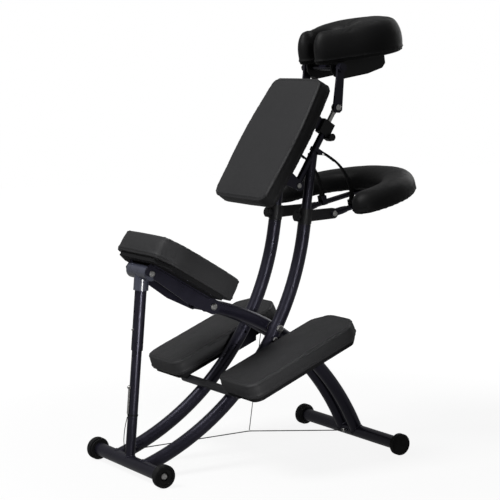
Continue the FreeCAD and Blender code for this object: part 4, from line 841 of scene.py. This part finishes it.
HANGER_PIN = Vector((0.13475, 0.8786))
SADDLE_PIN = Vector((0.25399, 0.73198))
STRAP_SPAN = (SADDLE_PIN - HANGER_PIN).length
STRAP_WAY = (SADDLE_PIN - HANGER_PIN).normalized()
STRAP_SIDE = Vector((-STRAP_WAY.y, STRAP_WAY.x))
STRAP_WIDTH = 0.016
STRAP_THICK = 0.0018
STRAP_EDGE = 0.0005
STRAP_STEP = 0.0018
STRAP_Y = 0.076
LAP_OFF = -STRAP_THICK - 0.0002
LAP_STITCH_PITCH, LAP_STITCH_LENGTH, LAP_THREAD = 0.003, 0.0022, 0.0007
LOOP = 0.0063
LOOP_LEAN = math.radians(23.4)
LOOP_END = math.radians(315)
BOW = 0.0265
LAP_START = 0.026
LAP_END = 0.056


def strap_run(reach, off=0.0):
    """A place on the strap's bowed run, measured along and beside the line between its pins."""
    lead = LOOP * math.sin(LOOP_LEAN)
    share = math.pi * (reach + lead) / (STRAP_SPAN + 2 * lead)
    slope = BOW * math.pi / (STRAP_SPAN + 2 * lead) * math.cos(share)
    beside = Vector((-slope, 1.0)).normalized()
    return Vector((reach, LOOP * math.cos(LOOP_LEAN) + BOW * math.sin(share))) + beside * off


def strap_half():
    """The strap from the middle of its run, round the hanger pin, to the end of the sewn lap."""
    lead = LOOP * math.sin(LOOP_LEAN)
    spots = [strap_run(reach) for reach in np.linspace(STRAP_SPAN / 2, -lead, 30)]
    for angle in np.linspace(math.pi / 2 + LOOP_LEAN, LOOP_END, 24)[1:]:
        spots.append(Vector((math.cos(angle), math.sin(angle))) * LOOP)
    leave = spots[-1]
    meet = strap_run(LAP_START, LAP_OFF)
    pull = (meet - leave).length
    set_off = Vector((math.sqrt(0.5), math.sqrt(0.5))) * pull
    join = (strap_run(LAP_START + 0.001) - strap_run(LAP_START)).normalized() * pull
    for t in np.linspace(0.0, 1.0, 12)[1:]:
        spots.append(leave * (2 * t ** 3 - 3 * t ** 2 + 1) + set_off * (t ** 3 - 2 * t ** 2 + t)
                     + meet * (3 * t ** 2 - 2 * t ** 3) + join * (t ** 3 - t ** 2))
    spots += [strap_run(reach, LAP_OFF) for reach in np.linspace(LAP_START, LAP_END, 12)[1:]]
    return spots


def strap_place(spot, y):
    flat = HANGER_PIN + STRAP_WAY * spot.x + STRAP_SIDE * spot.y
    return Vector((flat.x, y, flat.y))


def lap_lines(flip, y):
    """The box and cross sewn through a lap, on the strap's outer face."""
    low, high, wide = LAP_START + 0.003, LAP_END - 0.003, STRAP_WIDTH / 2 - 0.0025
    box = [(low, -wide), (high, -wide), (high, wide), (low, wide), (low, -wide), (high, wide)]
    lines = []
    for first, second in zip(box, box[1:]):
        line = []
        for t in np.linspace(0.0, 1.0, 12):
            spot = strap_run(first[0] + (second[0] - first[0]) * t, STRAP_THICK / 2 + 0.0001)
            if flip:
                spot.x = STRAP_SPAN - spot.x
            line.append(strap_place(spot, y + first[1] + (second[1] - first[1]) * t))
        lines.append(line)
    return lines


def make_strap(side, y):
    half = strap_half()
    other = [Vector((STRAP_SPAN - spot.x, spot.y)) for spot in half]
    spots = [strap_place(spot, y) for spot in list(reversed(half)) + other[1:]]
    spots = even_line(spots, STRAP_STEP)
    wide, thin, edge = STRAP_WIDTH / 2, STRAP_THICK / 2, STRAP_EDGE
    section = ((wide, -thin + edge), (wide, thin - edge), (wide - edge, thin), (-wide + edge, thin),
               (-wide, thin - edge), (-wide, -thin + edge), (-wide + edge, -thin), (wide - edge, -thin))
    mesh = bpy.data.meshes.new(f"arm_strap_{side}")
    bm = bmesh.new()
    rows = []
    along = []
    across = Vector((0.0, 1.0, 0.0))
    for i, spot in enumerate(spots):
        way = (spots[min(i + 1, len(spots) - 1)] - spots[max(i - 1, 0)]).normalized()
        up = way.cross(across)
        rows.append([bm.verts.new(spot + across * a + up * b) for a, b in section])
        along.append(i * STRAP_STEP)
    skin_rows(bm, rows, along, 2 * STRAP_WIDTH)
    bm.to_mesh(mesh)
    bm.free()
    smooth(mesh)
    mesh.materials.append(FINISHES["black_webbing"])
    strap = new_object(f"arm_strap_{side}", mesh)
    lines = []
    for flip in (False, True):
        lines += lap_lines(flip, y)
    seam = set_row(f"arm_strap_{side}_stitches", stitch_row, lines, LAP_STITCH_PITCH, LAP_STITCH_LENGTH, LAP_THREAD,
                   thread, closed=False)
    for piece in (strap, seam):
        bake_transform(piece)
    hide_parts("arm_straps")


make_strap("left", STRAP_Y)
make_strap("right", -STRAP_Y)


# Staples under the boards and welds at the bars

STAPLED = {"seat_cushion": "seat_board", "leg_pad_left": "leg_boards", "leg_pad_right": "leg_boards",
           "chest_cushion": "chest_board"}
STAPLE_IN = 20.0
STAPLE_PITCH, STAPLE_LENGTH, STAPLE_WIRE = 0.022, 0.011, 0.0011
BELOW_BOARD = 0.04

for cushion_node, board in STAPLED.items():
    upholstered = CUSHIONS[cushion_node]
    under = surface_of(nodes[board].data)
    down = -(upholstered["place"].to_3x3() @ Vector((0.0, 0.0, 1.0)))
    rail = []
    for place in seam_line(upholstered, 0.0, STAPLE_IN):
        found = under.ray_cast(place + down * BELOW_BOARD, -down)[0]
        if found is not None:
            rail.append(found + down * 0.0003)
    staples = set_row(f"{cushion_node}_staples", staple_row, [rail], STAPLE_PITCH, STAPLE_LENGTH, STAPLE_WIRE,
                      FINISHES["frame_black"])
    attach(staples, upholstered["body"])


WELD_PITCH, WELD_BEAD = 0.0021, 0.0046
WELD_TOUCH = 0.0006
RIM_SHARE = 0.93


def weld_line(tube, bar):
    """The line where a tube's coped end meets the bar that it is welded to."""
    spans = np.array([vertex.co for vertex in nodes[bar].data.vertices])
    middle = (spans.max(axis=0) + spans.min(axis=0)) / 2
    radius = (spans[:, 2].max() - spans[:, 2].min()) / 2
    corners = np.array([vertex.co for vertex in nodes[tube].data.vertices])
    reach = np.hypot(corners[:, 0] - middle[0], corners[:, 2] - middle[2])
    touching = corners[np.abs(reach - radius) < WELD_TOUCH]
    centre = touching.mean(axis=0)
    out = Vector((centre[0] - middle[0], 0.0, centre[2] - middle[2])).normalized()
    up = np.array(out.cross(Vector((0.0, 1.0, 0.0))))
    beside = touching[:, 1] - centre[1]
    above = (touching - centre) @ up
    wide = np.hypot(beside, above)
    angle = np.arctan2(above, beside)
    outer = wide > RIM_SHARE * wide.max()
    order = np.argsort(angle[outer])
    return [Vector(spot) for spot in touching[outer][order]]


WELDED = {"main_frame": (("main_tube_left", "rear_bar"), ("main_tube_right", "rear_bar"), ("post_stub", "rear_bar")),
          "front_leg": (("leg_tube_left", "front_bar"), ("leg_tube_right", "front_bar"))}
for body, pairs in WELDED.items():
    beads = set_row(f"{body}_welds", weld_row, [weld_line(*pair) for pair in pairs], WELD_PITCH, 0.0, WELD_BEAD,
                    FINISHES["frame_black"])
    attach(beads, body)


# Camera, floor and light

LENS_MM = 118.1
EYE = (-2.5956, -3.939, 1.167)
LOOK_DOWN_DEG = 6.89
LOOK_ASIDE_DEG = 32.84
MIRRORED_WHITE = 0.22

camera_data = bpy.data.cameras.new("camera")
camera_data.lens = LENS_MM
camera_data.sensor_width = 36.0
camera = new_object("camera", camera_data)
camera.location = EYE
camera.rotation_euler = (math.radians(90 - LOOK_DOWN_DEG), 0.0, math.radians(-LOOK_ASIDE_DEG))
scene.camera = camera


def white_to_the_eye(tree):
    """One for camera and transmitted rays, which see white surroundings, and a part of it for glossy ones."""
    path = add_node(tree, "ShaderNodeLightPath")
    mirrored = sums(tree, "MULTIPLY", path.outputs["Is Glossy Ray"], MIRRORED_WHITE)
    seen = sums(tree, "MAXIMUM", path.outputs["Is Camera Ray"], mirrored)
    return sums(tree, "MAXIMUM", seen, path.outputs["Is Transmission Ray"])


def make_floor():
    mesh = bpy.data.meshes.new("floor")
    bm = bmesh.new()
    bmesh.ops.create_grid(bm, x_segments=8, y_segments=8, size=9.0)
    bm.to_mesh(mesh)
    bm.free()
    floor = new_object("floor", mesh)
    material, tree, surface = new_finish("floor_paper", Roughness=0.95, Specular_IOR_Level=0.0)
    place = object_place(tree)
    tone = ramp(tree, grain(tree, place, 3.0, 3.0), 0.12, 0.125)
    tree.links.new(tone, surface.inputs["Base Color"])
    away = add_node(tree, "ShaderNodeVectorMath", {0: place}, operation="LENGTH").outputs["Value"]
    paler = add_node(tree, "ShaderNodeMapRange", {"Value": away, "From Min": 0.6, "From Max": 2.2, "To Min": 0.9,
                                                  "To Max": 1.0}, interpolation_type="SMOOTHSTEP").outputs[0]
    glow = add_node(tree, "ShaderNodeEmission", {"Color": (1.0, 1.0, 1.0, 1.0)})
    tree.links.new(sums(tree, "MULTIPLY", white_to_the_eye(tree), paler), glow.inputs["Strength"])
    both = add_node(tree, "ShaderNodeAddShader", {0: surface.outputs[0], 1: glow.outputs[0]})
    tree.links.new(both.outputs[0], tree.nodes["Material Output"].inputs["Surface"])
    mesh.materials.append(material)


def make_lamp(name, place, aim, size, power, spread=180.0):
    data = bpy.data.lights.new(name, "AREA")
    data.shape = "RECTANGLE"
    data.size, data.size_y = size
    data.energy = power
    data.spread = math.radians(spread)
    lamp = new_object(name, data)
    lamp.location = place
    lamp.rotation_euler = (Vector(aim) - Vector(place)).to_track_quat("-Z", "Y").to_euler()


def make_world():
    world = bpy.data.worlds.new("studio")
    scene.world = world
    world.use_nodes = True
    tree = world.node_tree
    dim = tree.nodes["Background"]
    dim.inputs["Color"].default_value = (1.0, 1.0, 1.0, 1.0)
    dim.inputs["Strength"].default_value = 0.03
    white = add_node(tree, "ShaderNodeBackground", {"Color": (1.0, 1.0, 1.0, 1.0), "Strength": 1.0})
    both = add_node(tree, "ShaderNodeMixShader",
                    {0: white_to_the_eye(tree), 1: dim.outputs[0], 2: white.outputs[0]})
    tree.links.new(both.outputs[0], tree.nodes["World Output"].inputs["Surface"])


make_floor()
make_world()
make_lamp("key", (-2.2, 0.15, 3.4), (0.0, 0.0, 0.6), (1.4, 1.4), 96.0)
make_lamp("overhead", (0.3, 0.3, 3.8), (0.0, 0.0, 0.6), (2.5, 2.5), 9.0)
make_lamp("low_front", (-0.9, -2.6, 0.35), (-0.24, -0.2, 0.4), (0.5, 0.25), 0.85, 22.0)
make_lamp("back_fill", (2.6, 1.2, 1.7), (0.1, 0.0, 0.7), (1.4, 1.4), 9.0)
scene.view_settings.view_transform = "Standard"
